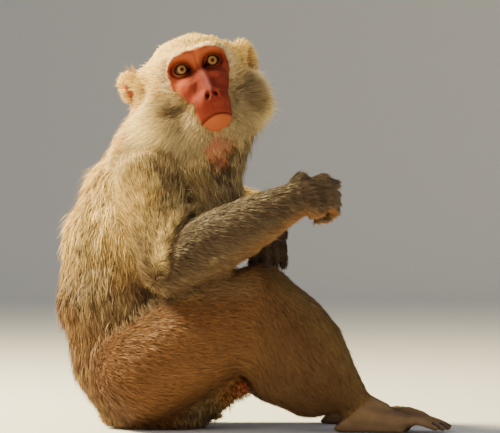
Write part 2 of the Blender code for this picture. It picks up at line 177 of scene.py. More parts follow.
# %% The head's own frame
HEAD_TURN = math.radians(191)
HEAD_LIFT = math.radians(2)
HEAD_ROLL = math.radians(17.5)


def centre_of(node):
    """Middle of a solid's box."""
    low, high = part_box(node)
    return (low + high) / 2


def half_width(node):
    """Half the longest side of a solid's box."""
    low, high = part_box(node)
    return max(high - low) / 2


EYE_RADIUS = (half_width("right_eye") + half_width("left_eye")) / 2
turned = Matrix.Rotation(-HEAD_ROLL, 3, "Y") @ Matrix.Rotation(HEAD_TURN, 3, "Z")
HEAD_AXES = np.array(turned @ Matrix.Rotation(HEAD_LIFT, 3, "X"))
EYE_BACK = 9.3 * MM
eyes_middle = (centre_of("right_eye") + centre_of("left_eye")) / 2
HEAD_ORIGIN = np.array(eyes_middle) + HEAD_AXES[:, 1] * EYE_BACK


def to_head(points):
    """Places in the row frame, told in the head's frame."""
    return (np.asarray(points) - HEAD_ORIGIN) @ HEAD_AXES


def from_head(points):
    """Places in the head's frame, told in the row frame."""
    return np.asarray(points) @ HEAD_AXES.T + HEAD_ORIGIN


EYES = {side: to_head(np.array(centre_of(side + "_eye"))) for side in ("right", "left")}
print("eyes in the head frame, mm", {k: (v / MM).round(1).tolist() for k, v in EYES.items()})

# %% [markdown]
# ## The body in one piece
# The solids are parted at every joint by a hair's breadth. A real skin has no such seams, so copies
# of all the flesh are joined and remeshed with small voxels, which closes the gaps. Each point then
# remembers which solid it came from: that says how long the hair is there and which way it lies.

# %% Join and remesh the flesh
SKIN_VOXEL = 1.55 * MM
WELD = 0.01 * MM
FLESH = sorted(name for name in NODES if not name.endswith("_eye"))


def mesh_arrays(mesh):
    """Points and triangles of a mesh."""
    points = np.empty(len(mesh.vertices) * 3)
    mesh.vertices.foreach_get("co", points)
    mesh.calc_loop_triangles()
    triangles = np.empty(len(mesh.loop_triangles) * 3, np.int64)
    mesh.loop_triangles.foreach_get("vertices", triangles)
    return points.reshape(-1, 3), triangles.reshape(-1, 3)


def finished(thing):
    """A plain mesh of the object with its modifiers worked in, in place of the old one."""
    graph = bpy.context.evaluated_depsgraph_get()
    made = bpy.data.meshes.new_from_object(thing.evaluated_get(graph))
    thing.modifiers.clear()
    thing.data = made
    return thing


def modified(thing, kind, **settings):
    """Works one modifier into the object's mesh."""
    modifier = thing.modifiers.new(kind.lower(), kind)
    for name, value in settings.items():
        setattr(modifier, name, value)
    return finished(thing)


flesh = bmesh.new()
for name in FLESH:
    flesh.from_mesh(NODES[name].data)
bmesh.ops.remove_doubles(flesh, verts=flesh.verts, dist=WELD)
flesh_mesh = bpy.data.meshes.new("skin")
flesh.to_mesh(flesh_mesh)
flesh.free()
skin = link(bpy.data.objects.new("skin", flesh_mesh))
modified(skin, "REMESH", mode="VOXEL", voxel_size=SKIN_VOXEL, use_smooth_shade=True)
print("remeshed points", len(skin.data.vertices))

# %% Smoothing and spreading over the surface
def edge_ends(mesh):
    """The two point numbers of every edge."""
    ends = np.empty(len(mesh.edges) * 2, np.int64)
    mesh.edges.foreach_get("vertices", ends)
    return ends.reshape(-1, 2)


def spread(values, ends, steps, share=0.5):
    """Each value drifts towards the mean of its neighbours, a step at a time."""
    values = np.array(values, float)
    flat = values.reshape(len(values), -1)
    start = np.concatenate([ends[:, 0], ends[:, 1]])
    other = np.concatenate([ends[:, 1], ends[:, 0]])
    count = np.maximum(np.bincount(start, minlength=len(flat)), 1)
    for _ in range(steps):
        for column in range(flat.shape[1]):
            total = np.bincount(start, weights=flat[other, column], minlength=len(flat))
            flat[:, column] += share * (total / count - flat[:, column])
    return flat.reshape(values.shape)


def set_points(mesh, points):
    """Moves a mesh's points."""
    mesh.vertices.foreach_set("co", np.asarray(points, np.float32).ravel())
    mesh.update()


def point_normals(mesh):
    """The outward direction at each point."""
    normals = np.empty(len(mesh.vertices) * 3, np.float32)
    mesh.vertex_normals.foreach_get("vector", normals)
    return normals.reshape(-1, 3).astype(float)


def unit(vectors):
    """Vectors of length one."""
    vectors = np.asarray(vectors, float)
    return vectors / np.maximum(np.linalg.norm(vectors, axis=-1, keepdims=True), 1e-9)


def ramp(low, high, value):
    """0 below low, 1 above high, and a smooth rise between."""
    t = np.clip((np.asarray(value, float) - low) / (high - low), 0, 1)
    return t * t * (3 - 2 * t)


def groove(here, line, width):
    """A soft crease of depth 1 along a line of (x, z) places."""
    best = np.full(len(here), 1e9)
    flat = here[:, [0, 2]]
    for start, end in zip(line[:-1], line[1:]):
        start, end = np.array(start, float), np.array(end, float)
        along = end - start
        t = np.clip(((flat - start) @ along) / (along @ along), 0, 1)
        best = np.minimum(best, np.linalg.norm(flat - start - t[:, None] * along, axis=1))
    return np.exp(-0.5 * (best / width) ** 2)


def near(points, centre, radii):
    """1 inside an ellipsoid's heart and 0 outside it, with a soft edge."""
    reach = np.linalg.norm((points - np.asarray(centre)) / np.asarray(radii), axis=1)
    return 1 - ramp(0.6, 1.15, reach)


points, _ = mesh_arrays(skin.data)
ends = edge_ends(skin.data)
points = spread(points, ends, 3)
set_points(skin.data, points)

corner_sets = []
owner = []
offset = 0
all_points = []
for number, name in enumerate(FLESH):
    node_points, node_faces = mesh_arrays(NODES[name].data)
    all_points.append(node_points)
    corner_sets.append(node_faces + offset)
    owner += [number] * len(node_faces)
    offset += len(node_points)
finder = BVHTree.FromPolygons(np.concatenate(all_points).tolist(), np.concatenate(corner_sets).tolist())
owner = np.array(owner)
labels = owner[[finder.find_nearest(p)[2] for p in points.tolist()]]
print("points by solid", {name: int((labels == n).sum()) for n, name in enumerate(FLESH)})

# %% [markdown]
# ## The lie of the hair
# Hair grows away from the face, over the crown and down the back, and along each limb towards the
# hand or foot. Each solid's long axis gives the direction on that part, the head has a rule of its
# own, and spreading the directions over the surface turns one into the next without a parting.

# %% Direction of the hair on every part
TOWARDS = {
    "right_upper_arm": ("trunk", "right_forearm"),
    "right_forearm": ("right_upper_arm", "right_hand"),
    "right_hand": ("right_forearm", "right_hand"),
    "left_upper_arm": ("trunk", "left_forearm"),
    "left_forearm": ("left_upper_arm", "left_hand"),
    "left_hand": ("left_forearm", "left_hand"),
    "right_thigh": ("trunk", "right_shank"),
    "left_thigh": ("trunk", "left_shank"),
    "right_shank": ("right_thigh", "right_foot"),
    "left_shank": ("left_thigh", "left_foot"),
    "right_foot": ("right_shank", "right_foot"),
    "left_foot": ("left_shank", "left_foot"),
    "tail_root": ("trunk", "tail_tip"),
    "tail_tip": ("tail_root", "tail_tip"),
}
DOWN = np.array((0.0, 0.0, -1.0))
SETTLE = 60


def long_axis(node, start, end):
    """The longest direction of a solid, pointing from one neighbour towards another."""
    node_points, _ = mesh_arrays(NODES[node].data)
    node_points = node_points - node_points.mean(axis=0)
    axis = np.linalg.svd(node_points, full_matrices=False)[2][0]
    wanted = np.array(centre_of(end) - centre_of(start))
    return axis if axis @ wanted > 0 else -axis


def side_free(name):
    """A node's name without the side that it is on."""
    return name.replace("right_", "").replace("left_", "")


def head_lie(places):
    """On the head: away from the middle of the face, and back over the crown."""
    here = to_head(places) / MM
    out = here * (1.0, 0.0, 1.0) - (0, 0, -26)
    out = unit(out)
    out[:, 1] = -ramp(-70, 20, here[:, 2]) * 1.3 - 0.35
    return unit(out) @ HEAD_AXES.T


FALL = {"forearm": 0.75, "upper_arm": 0.3, "thigh": 0.75, "shank": 0.15}
FORWARD = np.array((1.0, 0.0, 0.0))

lie = np.tile(unit(DOWN + 0.22 * FORWARD), (len(points), 1))
for number, name in enumerate(FLESH):
    here = labels == number
    if name in TOWARDS:
        lie[here] = unit(long_axis(name, *TOWARDS[name]) + FALL.get(side_free(name), 0) * DOWN)
    if name in ("head", "right_ear", "left_ear"):
        lie[here] = head_lie(points[here])
lie = spread(lie, ends, SETTLE)
print("directions spread over", len(lie), "points")

# %% [markdown]
# ## How deep the coat is
# A macaque's hair is short on the crown, long in the ruff and on the back, thin on the hands, and
# gone from the face. The skin is drawn in from the solids by that depth, so that the tips of the
# hair come back out to the solids' surface.

# %% Depth of the coat
COAT_DEPTH = {
    "head": 5.0,
    "neck": 7.5,
    "trunk": 6.2,
    "tail_root": 4.0,
    "tail_tip": 2.5,
    "upper_arm": 5.5,
    "forearm": 3.6,
    "hand": 0.6,
    "thigh": 4.0,
    "shank": 2.8,
    "foot": 0.6,
    "ear": 0.8,
}
FACE_EYES = ((-0.5, -6), (37, 25), 2.7)
FACE_CHEEKS = ((0, -26), (28, 20), 2.2)
FACE_MUZZLE = ((0, -52), (20.5, 27), 2.3)
FACE_SHARPNESS = 9


def oval(here, middle, radii, power):
    """Distance measure from a squared-off oval in the plane of the face: under 1 inside it."""
    across = np.abs(here[:, 0] - middle[0]) / radii[0]
    up = np.abs(here[:, 2] - middle[1]) / radii[1]
    return (across ** power + up ** power) ** (1 / power)


def face_mask(here):
    """1 on the bare red face, 0 in the hair, in head-frame millimetres."""
    shapes = [oval(here, *shape) for shape in (FACE_EYES, FACE_CHEEKS, FACE_MUZZLE)]
    blend = -np.log(sum(np.exp(-FACE_SHARPNESS * shape) for shape in shapes)) / FACE_SHARPNESS
    x, _, z = here.T
    wobble = 0.016 * np.sin(0.5 * x + 0.35 * z) + 0.014 * np.sin(0.8 * z - 0.3 * x) + 0.012 * np.sin(1.3 * x)
    front = ramp(-48, -34, here[:, 1])
    return (1 - ramp(0.92, 1.06, blend + wobble)) * front


in_head = to_head(points) / MM
depth = np.array([COAT_DEPTH[side_free(name)] for name in FLESH])[labels]
on_head = np.isin(labels, [FLESH.index("head")])
ruff = near(in_head, (34, -40, -52), (34, 40, 40)) + near(in_head, (-34, -40, -52), (34, 40, 40))
crown = ramp(2, 22, in_head[:, 2]) * on_head
depth = depth + on_head * 7.0 * np.clip(ruff, 0, 1) - 3.4 * crown
depth = spread(depth, ends, 14)
bare_face = face_mask(in_head) * on_head
wide_face = spread(bare_face, ends, 10)
depth = depth * (1 - np.clip(wide_face * 1.6, 0, 1))
print("deepest", round(float(depth.max()), 1), "mm")

# %% Part shares
PARTS = sorted(set(side_free(name) for name in FLESH))
part_share = {}
for part in PARTS:
    numbers = [n for n, name in enumerate(FLESH) if side_free(name) == part]
    part_share[part] = spread(np.isin(labels, numbers), ends, 40)
print("parts", PARTS)

# %% Draw the skin in
SMOOTHING = 70
FILLING = 260

normals = unit(spread(point_normals(skin.data), ends, 6))
inner = points - normals * depth[:, None] * MM
soft = ramp(1.5, 2.8, depth)[:, None]
inner = inner + soft * (spread(inner, ends, SMOOTHING) - inner)
seam = (part_share["trunk"] + part_share["neck"]) * (part_share["upper_arm"] + part_share["thigh"])
seam = seam + part_share["thigh"] * part_share["shank"] * 0.5 + part_share["head"] * part_share["ear"] * 2
seam = spread(ramp(0.02, 0.12, seam), ends, 12)[:, None]
inner = inner + seam * (spread(inner, ends, FILLING) - inner)
ELBOW_RIDGE = [(17, 99), (6, 93), (-5, 85), (-13, 76), (-18, 65), (-22, 52), (-23, 38)]
ELBOW_CREASE = [(16, 92), (5, 84), (-5, 73), (-9, 61), (-13, 49), (-14, 36), (-20, 20)]
# A line under the elbow, where a painted shadow falls on the fur.
SHADOW_UNDER_ELBOW = [(-51, 16), (-42, 7), (-31, -1), (-19, -3), (-7, 4), (7, 10), (20, 15)]
FOLD_WIDTH = 2.8
FOLD_RISE = 3.2
SHADOW_WIDTH = 7.0
UNDER_WIDTH = 5.0
ELBOW_AHEAD = 30
arm_low, arm_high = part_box("right_forearm")


def beside_elbow(places):
    """Millimetres forward of and above the near elbow, in x and z."""
    return (places - np.array((arm_low.x + ELBOW_AHEAD * MM, 0, arm_low.z))) / MM


by_elbow = beside_elbow(inner)
near_side = ramp(0.55, 0.75, (CAD_HIGH.y - inner[:, 1]) / (CAD_HIGH.y - CAD_LOW.y))
# The elbow's fold is a real ridge in the skin and its crease a real groove; the same masks also paint a cream
# highlight along the fold and shade in the crease.
fold = groove(by_elbow, ELBOW_RIDGE, FOLD_WIDTH) * near_side
crease = groove(by_elbow, ELBOW_CREASE, FOLD_WIDTH) * near_side
inner = inner + normals * ((fold - crease) * FOLD_RISE * MM)[:, None]
crease_x = np.interp(by_elbow[:, 2], *np.array(ELBOW_CREASE[::-1])[:, ::-1].T)
past_crease = ramp(-3, 3, by_elbow[:, 0] - crease_x) * near_side * (1 - ramp(92, 100, by_elbow[:, 2]))
set_points(skin.data, inner)


def store(mesh, name, values):
    """Keeps a number or a direction for each point in a named attribute."""
    values = np.asarray(values, np.float32)
    kind, field = ("FLOAT_VECTOR", "vector") if values.ndim == 2 else ("FLOAT", "value")
    held = mesh.attributes.get(name) or mesh.attributes.new(name, kind, "POINT")
    held.data.foreach_set(field, values.ravel())


def read(mesh, name):
    """The numbers or directions held in a named attribute."""
    held = mesh.attributes[name]
    wide = held.data_type == "FLOAT_VECTOR"
    values = np.empty(len(mesh.vertices) * (3 if wide else 1), np.float32)
    held.data.foreach_get("vector" if wide else "value", values)
    return values.reshape(-1, 3).astype(float) if wide else values.astype(float)


store(skin.data, "lie", lie)
store(skin.data, "depth", depth)
store(skin.data, "fold", fold)
store(skin.data, "crease", crease)
store(skin.data, "past_crease", past_crease)
# A band of painted shade behind the elbow's fold, on the near side.
behind = groove(by_elbow, [(x - 13, z + 8) for x, z in ELBOW_RIDGE], SHADOW_WIDTH) * near_side
store(skin.data, "behind_ridge", behind)
store(skin.data, "under_elbow", groove(by_elbow, SHADOW_UNDER_ELBOW, UNDER_WIDTH) * near_side)
for part in PARTS:
    store(skin.data, "is_" + part, part_share[part])
store(skin.data, "on_right", spread(np.array(["right" in n for n in FLESH])[labels], ends, 2))
print("attributes", [a.name for a in skin.data.attributes if a.name.startswith("is_")])

# %% [markdown]
# ## Fine where it is bare, coarse where it is covered
# The face, hands and feet show their own surface, so they keep small triangles. Under the coat
# nobody sees the skin, so its triangles may be large. A vertex group tells the Decimate modifier
# which is which.

# %% Thin the covered skin
KEEP_SHARE = 0.235
COVER_LEVELS = 10
bareness = np.clip(wide_face * 1.5, 0, 1)
for part, share in (("hand", 0.8), ("foot", 0.75), ("ear", 0.9), ("head", 0.35)):
    bareness = np.maximum(bareness, share * read(skin.data, "is_" + part))
group = skin.vertex_groups.new(name="covered")
cover_level = np.round((1 - bareness) * COVER_LEVELS).astype(int)
for level in range(1, COVER_LEVELS + 1):
    chosen = np.nonzero(cover_level == level)[0]
    if len(chosen):
        group.add(chosen.tolist(), level / COVER_LEVELS, "REPLACE")
modified(skin, "DECIMATE", ratio=KEEP_SHARE, vertex_group="covered", vertex_group_factor=4.0)
print("skin triangles", len(mesh_arrays(skin.data)[1]))

# %% Small triangles on the face
FINE_LOW = np.array((-36.0, -14.0, -82.0))
FINE_HIGH = np.array((36.0, 40.0, 17.0))


def refined(mesh, low, high):
    """Splits every face in a box of the head's frame into four."""
    shape = bmesh.new()
    shape.from_mesh(mesh)
    places = to_head(np.array([v.co for v in shape.verts])) / MM
    inside = ((places > low) & (places < high)).all(axis=1)
    shape.verts.ensure_lookup_table()
    edges = [e for e in shape.edges if inside[e.verts[0].index] and inside[e.verts[1].index]]
    bmesh.ops.subdivide_edges(shape, edges=edges, cuts=1, use_grid_fill=True)
    bmesh.ops.triangulate(shape, faces=shape.faces)
    shape.to_mesh(mesh)
    shape.free()


refined(skin.data, FINE_LOW, FINE_HIGH)
points, faces = mesh_arrays(skin.data)
ends = edge_ends(skin.data)
in_head = to_head(points) / MM
on_face = ((in_head > FINE_LOW - 4) & (in_head < FINE_HIGH + 4)).all(axis=1)
in_head[on_face] = spread(in_head, ends, 3)[on_face]
print("skin triangles", len(faces), "on the face", int(on_face.sum()))

# %% [markdown]
# ## Modelling the face
# The face is pushed and pulled along the direction it looks in, as a sculptor presses clay: pits
# for the nostrils, a crease for the mouth, folds beside the nose and under the eyes, and a notch
# between the brows. Each stroke is a soft hill or groove with a place, a size and a height.

# %% Strokes on the face
NOSTRIL = (4.6, -38.5)
MOUTH_HEIGHT = -60.4
MOUTH_DROOP = 0.019
MOUTH_HALF = 19.0


def hill(here, x, z, wide, tall, turn=0.0):
    """A soft round hill of height 1 at a place on the face."""
    across = here[:, 0] - x
    up = here[:, 2] - z
    c, s = math.cos(turn), math.sin(turn)
    return np.exp(-0.5 * (((c * across + s * up) / wide) ** 2 + ((c * up - s * across) / tall) ** 2))


def both(line, side):
    """A line on one side of the face, or its mirror image."""
    return [(side * x, z) for x, z in line]


def mouth_line(x):
    """Height of the closed lips at a place across the mouth."""
    return MOUTH_HEIGHT - MOUTH_DROOP * x * x


CREASES = [
    ([(8, -30), (14, -36), (17, -44), (19.5, -54)], 1.5, 0.9),
    ([(8, -12), (14, -17), (22, -17), (29, -11)], 1.6, 0.8),
    ([(9, -9), (14, -12.5), (21, -13), (27, -9)], 1.0, 0.45),
    ([(10, 11), (17, 13), (25, 11), (30, 6)], 1.5, 0.55),
    ([(3, -44), (2.2, -50), (2.4, -57)], 1.0, 0.35),
    ([(10.5, -22), (13.5, -28), (16, -37)], 1.2, 0.45),
    ([(22, -21), (27, -25), (30, -20)], 1.5, 0.4),
]
front = ramp(-12, -2, in_head[:, 1]) * on_face
mouth = [(x, mouth_line(x)) for x in np.linspace(-MOUTH_HALF, MOUTH_HALF, 25)]
push = -1.9 * groove(in_head, mouth, 0.85)
push += 0.9 * groove(in_head, [(x, z - 3.4) for x, z in mouth[3:-3]], 2.0)
push += 0.6 * groove(in_head, [(x, z + 3.0) for x, z in mouth[3:-3]], 1.9)
push += -1.0 * hill(in_head, 0, 6, 1.3, 8)
for side in (-1, 1):
    push += -5.5 * hill(in_head, side * NOSTRIL[0], NOSTRIL[1], 1.5, 2.5, side * 0.5)
    push += 1.4 * hill(in_head, side * 8.2, -37, 2.2, 4.0, side * 0.4)
    push += 1.0 * hill(in_head, side * 13, -49, 7, 6)
    for line, width, depth_here in CREASES:
        push -= depth_here * groove(in_head, both(line, side), width)
push += 0.9 * hill(in_head, 0, -35, 3.0, 3.5)
push -= 1.2 * hill(in_head, 0, -41.5, 1.4, 2.2)
in_head[:, 1] += push * front
print("deepest stroke", round(float((push * front).min()), 2), "mm")

# %% [markdown]
# ## Eyelids
# An eye looks set in the head only when the lids have thickness and wrap a real ball. The skin is
# hollowed out behind the lids, and each pair of lids is a loft of rings: from the edge that touches
# the eyeball, over a rounded rim, and out until it meets the face.

# %% Sockets and lids
OPENING_OUT = 8.6
OPENING_IN = 10.0
OPENING_UP = 6.3
OPENING_DOWN = 5.7
INNER_DROP = 3.3
LID_POINTS = 56
RADIUS_MM = EYE_RADIUS / MM
LID_RINGS = [
    (-0.5, 0.15), (0.0, 0.9), (0.35, 1.4), (1.0, 1.7), (1.8, 1.5), (2.5, 1.2), (3.3, 1.5),
    (4.3, 2.0), (5.4, 2.6),
]


def opening(turn):
    """The edge of the eye's opening: out from the nose and up, in mm, at an angle round it."""
    c, s = math.cos(turn), math.sin(turn)
    tall = (OPENING_UP if s > 0 else OPENING_DOWN) * s
    if c > 0:
        return OPENING_OUT * c, tall * (1 - 0.05 * c) - 0.2 * c
    return OPENING_IN * c, tall * (1 - 0.62 * (-c) ** 2.2) - INNER_DROP * (-c) ** 1.8


def lid_distance(here, side):
    """How far outside the opening each point is, in mm, negative inside."""
    eye = EYES[side] / MM
    sign = 1 if side == "right" else -1
    loop = np.array([opening(2 * math.pi * n / LID_POINTS) for n in range(LID_POINTS)])
    out = (here[:, 0] - eye[0]) * sign
    up = here[:, 2] - eye[2]
    angles = np.arctan2(loop[:, 1], loop[:, 0])
    order = np.argsort(angles)
    reach = np.linalg.norm(loop, axis=1)
    edge = np.interp(np.arctan2(up, out), angles[order], reach[order], period=2 * math.pi)
    return np.hypot(out, up) - edge


for side in EYES:
    eye = EYES[side] / MM
    away = lid_distance(in_head, side)
    near_eye = on_face & (away < 9) & (in_head[:, 1] > -25)
    ball_front = eye[1] + np.sqrt(np.clip((RADIUS_MM + 1.3) ** 2 - (in_head[:, 0] - eye[0]) ** 2
                                          - (in_head[:, 2] - eye[2]) ** 2, 0, None))
    cup = np.minimum(in_head[:, 1], ball_front + 0.2)
    share = (1 - ramp(2.0, 5.5, away)) * near_eye
    in_head[:, 1] += share * (cup - in_head[:, 1])
    hollow = (1 - ramp(1.0, 3.8, away)) * near_eye
    in_head[:, 1] -= hollow * (3.2 + 8 * (1 - ramp(-3, 1.5, away)))
face_finder = BVHTree.FromPolygons(in_head.tolist(), faces.tolist())


def face_front(x, z):
    """How far forward the modelled face is at a place on it."""
    hit = face_finder.ray_cast(Vector((x, 60, z)), Vector((0, -1, 0)))[0]
    return hit.y if hit else -20.0


def lid_mesh(side):
    """Points and faces of the two lids of one eye, in the head's frame and in mm."""
    eye = EYES[side] / MM
    sign = 1 if side == "right" else -1
    loop = np.array([opening(2 * math.pi * n / LID_POINTS) for n in range(LID_POINTS)])
    tangent = np.roll(loop, -1, axis=0) - np.roll(loop, 1, axis=0)
    outward = unit(np.stack([tangent[:, 1], -tangent[:, 0]], axis=1))
    outward = unit(0.5 * outward + 0.5 * unit(loop))
    made = []
    for ring, (beyond, proud) in enumerate(LID_RINGS):
        flat = loop + outward * beyond
        for out, up in flat:
            reach = RADIUS_MM + proud
            forward = math.sqrt(max(reach ** 2 - out * out - up * up, 4.0))
            x, z = eye[0] + sign * out, eye[2] + up
            y = eye[1] + forward
            settle = float(ramp(1.8, 4.6, beyond))
            if settle > 0:
                y += settle * (face_front(x, z) + 0.12 - y)
            made.append((x, y, z))
    rings = len(LID_RINGS)
    quads = []
    for ring in range(rings - 1):
        for n in range(LID_POINTS):
            m = (n + 1) % LID_POINTS
            a, b = ring * LID_POINTS + n, ring * LID_POINTS + m
            quads.append((a, b, b + LID_POINTS, a + LID_POINTS))
    if sign > 0:
        quads = [q[::-1] for q in quads]
    return np.array(made), quads


lids = {side: lid_mesh(side) for side in EYES}
set_points(skin.data, from_head(in_head * MM))
print("lid points", {side: len(made) for side, (made, _) in lids.items()})

# %% Join the lids to the skin
shape = bmesh.new()
shape.from_mesh(skin.data)
for side, (made, quads) in lids.items():
    corners = [shape.verts.new(p) for p in from_head(made * MM)]
    for quad in quads:
        shape.faces.new([corners[n] for n in quad])
bmesh.ops.triangulate(shape, faces=shape.faces)
shape.to_mesh(skin.data)
shape.free()
skin.data.shade_smooth()
points, faces = mesh_arrays(skin.data)
ends = edge_ends(skin.data)
in_head = to_head(points) / MM
print("skin triangles", len(faces))

# %% [markdown]
# ## Markings
# The animal's pattern is a set of soft masks: the red face, the white band round it, the cream
# crown, grey cheeks, a pale ruff, a golden back that turns rust-brown on the rump and thighs, and
# grey-brown forearms. Some masks paint light and shade: dark brown spots where shade falls, partly
# the fur's own darker patches, painted shade in the elbow's crease and under it, a darker shank
# partly from painted shade, a cream painted highlight along the elbow's fold, a paler shin partly
# from a painted highlight, and painted shade on the cheeks. They are kept on the skin's points, so
# the skin and every tuft that grows from it read the same marking.

# %% The masks of the pattern
is_ = {part: read(skin.data, "is_" + part) for part in PARTS}
lids_from = len(points) - sum(len(made) for made, _ in lids.values())
on_lids = np.arange(len(points)) >= lids_from
for name in is_:
    is_[name][on_lids] = 1.0 if name == "head" else 0.0
height = points[:, 2] / CAD_HIGH.z
facing = point_normals(skin.data)
head_all = np.clip(is_["head"] + is_["ear"], 0, 1)
red = face_mask(in_head) * ramp(0.3, 0.7, is_["head"])
red[on_lids] = 1.0
ring = spread(red, ends, 26)
_, y, z = in_head.T
EAR_BOWL = [(72, 5), (66, -10), (59, -26)]
bowl = np.maximum(groove(in_head, EAR_BOWL, 5.4), groove(in_head, both(EAR_BOWL, -1), 3.2))
bowl = ramp(0.25, 0.75, bowl) * is_["ear"] * (facing @ HEAD_AXES[:, 1] > 0)
body_side = is_["trunk"] + is_["neck"] + is_["upper_arm"]
front_low, front_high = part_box("trunk")
forward = (points[:, 0] - front_low.x) / (front_high.x - front_low.x)
GROIN = np.array((-0.012, -0.022, 0.048))
THROAT = np.array((-0.036, -0.050, 0.309))
# Dark brown spots, partly the fur's own darker patches and partly painted shade: round the elbow, at the
# shoulder beside the chest, where the forearm lies over the thigh, and on the far side.
SHADE_AND_UMBER_SPOTS = [
    (0.75, (-0.155, -0.075, 0.150), (0.055, 0.060, 0.032)),
    (0.70, (-0.110, -0.075, 0.158), (0.040, 0.050, 0.020)),
    (0.60, (-0.120, -0.070, 0.285), (0.034, 0.050, 0.022)),
    (0.55, (-0.085, -0.070, 0.255), (0.030, 0.050, 0.030)),
    (0.50, (-0.185, -0.050, 0.190), (0.030, 0.060, 0.045)),
    (0.60, (-0.080, -0.085, 0.290), (0.036, 0.060, 0.026)),
    (0.80, (-0.108, -0.112, 0.174), (0.034, 0.045, 0.030)),
    (0.80, (-0.050, -0.090, 0.163), (0.060, 0.070, 0.016)),
    (0.50, (-0.185, 0.050, 0.185), (0.040, 0.060, 0.050)),
    (0.50, (-0.110, 0.070, 0.270), (0.040, 0.050, 0.040)),
]
near_shade = sum(strength * near(points, place, radii) for strength, place, radii in SHADE_AND_UMBER_SPOTS)
near_shade = np.clip(near_shade + read(skin.data, "behind_ridge"), 0, 0.85)
KNUCKLE_WAY = {"right": (0.1, -0.86, 0.5), "left": (0.12, -0.2, 0.95)}
right_share = read(skin.data, "on_right")
right_share[on_lids] = 0
right_back, left_back = (ramp(-0.55, 0.1, facing @ np.array(KNUCKLE_WAY[side])) for side in ("right", "left"))
back_of_hand = right_share * right_back + (1 - right_share) * 0.7 * left_back
wide_thigh = np.maximum(is_["thigh"], 1.4 * spread(is_["thigh"], ends, 160))
marks = {
    "rust": np.clip(body_side * (1 - ramp(0.26, 0.60, height)) + wide_thigh + is_["shank"] * 0.85
                    + is_["tail_root"] * 0.6 + is_["tail_tip"] * 0.5, 0, 1),
    # The shank is darker brown, partly its own colour and partly painted shade.
    "shank": spread(is_["shank"], ends, 90) * 0.9,
    "umber": near_shade * (1 - head_all),
    "arm": np.clip(is_["forearm"] + is_["hand"] + 0.45 * is_["upper_arm"] * ramp(-0.2, 0.8, facing[:, 0])
                   + is_["upper_arm"] * read(skin.data, "past_crease"), 0, 1),
    # Lighter on the shin's forward and upper faces: partly the shin's own paler hair and partly a painted
    # highlight.
    "shin": np.clip(is_["shank"] + is_["foot"] + 0.4 * is_["thigh"], 0, 1)
    * ramp(0.1, 0.95, facing @ np.array((0.8, 0, 0.6))),
    "belly": np.clip(is_["trunk"] + is_["neck"], 0, 1) * ramp(0.55, 0.8, forward) * (1 - head_all),
    "crown": head_all * ramp(-20, 8, z),
    "cheek": head_all * (1 - ramp(-34, -16, z)) * ramp(-50, -20, y),
    "ruff": spread(head_all * np.clip(near(in_head, (58, -34, -54), (26, 36, 34))
                                      + near(in_head, (-60, -34, -54), (26, 36, 34)), 0, 1), ends, 60),
    "band": head_all * ramp(0.02, 0.16, ring) * ramp(-30, -12, z) * 0.85,
    # Painted shade in a patch on each cheek; the dark beard under the chin is the hair's own colour.
    "shade": head_all * np.clip(0.8 * near(in_head, (34, -10, -40), (14, 20, 6))
                                + 0.75 * near(in_head, (-45, -12, -47), (13, 22, 21))
                                + 0.7 * near(in_head, (1.6, 9, -89), (12, 12, 8)), 0, 1),
    "orange": np.clip(near(points, (CAD_LOW.x + 0.085, -0.01, 0.345), (0.028, 0.07, 0.03)), 0, 1) * 0.8,
    "warm": np.clip(is_["forearm"] + is_["hand"], 0, 1) * ramp(0.0, 0.8, -facing[:, 2])
    * (0.15 + 0.55 * ramp(0.35, 0.95, (points[:, 0] - arm_low.x) / (arm_high.x - arm_low.x))),
    "groin": near(points, GROIN, (0.036, 0.036, 0.034)),
    # A cream painted highlight along the elbow's fold.
    "fold": read(skin.data, "fold") ** 0.6,
    # Painted shade in the elbow's crease and a painted shadow along the line under the elbow.
    "crease": np.maximum(read(skin.data, "crease") ** 0.6, read(skin.data, "under_elbow") ** 0.8),
    "throat": near(points, THROAT, (0.023, 0.045, 0.032)) * ramp(-0.3, 0.2, -facing[:, 1]),
    "red": red,
    "nude": np.clip(is_["hand"] * (1 - 0.8 * back_of_hand) + is_["foot"] * 0.95, 0, 1),
    "ear": bowl,
}
marks["fair"] = np.clip(marks["crown"] + marks["band"] + marks["ruff"] + 0.7 * marks["cheek"], 0, 1)
marks["plain"] = np.clip(is_["thigh"] + is_["shank"] + is_["hand"] + is_["foot"] + 0.8 * is_["forearm"], 0, 1)
for name, values in marks.items():
    store(skin.data, name, values)
print("markings", {name: round(float(values.mean()), 3) for name, values in marks.items()})

# %% [markdown]
# ## Shader maths as Python
# A node tree is easier to read as sums. One small class wraps a socket, so that `1 - mask` adds its
# own Math node, and one function adds any other node with its settings and its inputs.

# %% Wires and nodes
class Wire:
    """One socket of a node tree, with Python's own arithmetic."""

    def __init__(self, tree, socket):
        self.tree = tree
        self.socket = socket

    def math(self, operation, *others):
        """A Math node on this value and others."""
        values = dict(enumerate((self, *others)))
        return add_node(self.tree, "ShaderNodeMath", {"operation": operation}, values)

    def __add__(self, other):
        return self.math("ADD", other)

    def __sub__(self, other):
        return self.math("SUBTRACT", other)

    def __mul__(self, other):
        return self.math("MULTIPLY", other)

    def __rsub__(self, other):
        return self * -1 + other

    def __pow__(self, other):
        return self.math("POWER", other)

    __radd__ = __add__
    __rmul__ = __mul__

    def clamped(self):
        """The same node, told to clamp."""
        self.socket.node.use_clamp = True
        return self


def add_node(tree, kind, settings=None, inputs=None, output=0):
    """Adds a node: first its settings, then its inputs, which are values or wires."""
    made = tree.nodes.new(kind)
    for name, value in (settings or {}).items():
        setattr(made, name, value)
    for key, value in (inputs or {}).items():
        if isinstance(value, Wire):
            tree.links.new(value.socket, made.inputs[key])
        else:
            made.inputs[key].default_value = value
    return Wire(tree, made.outputs[output])


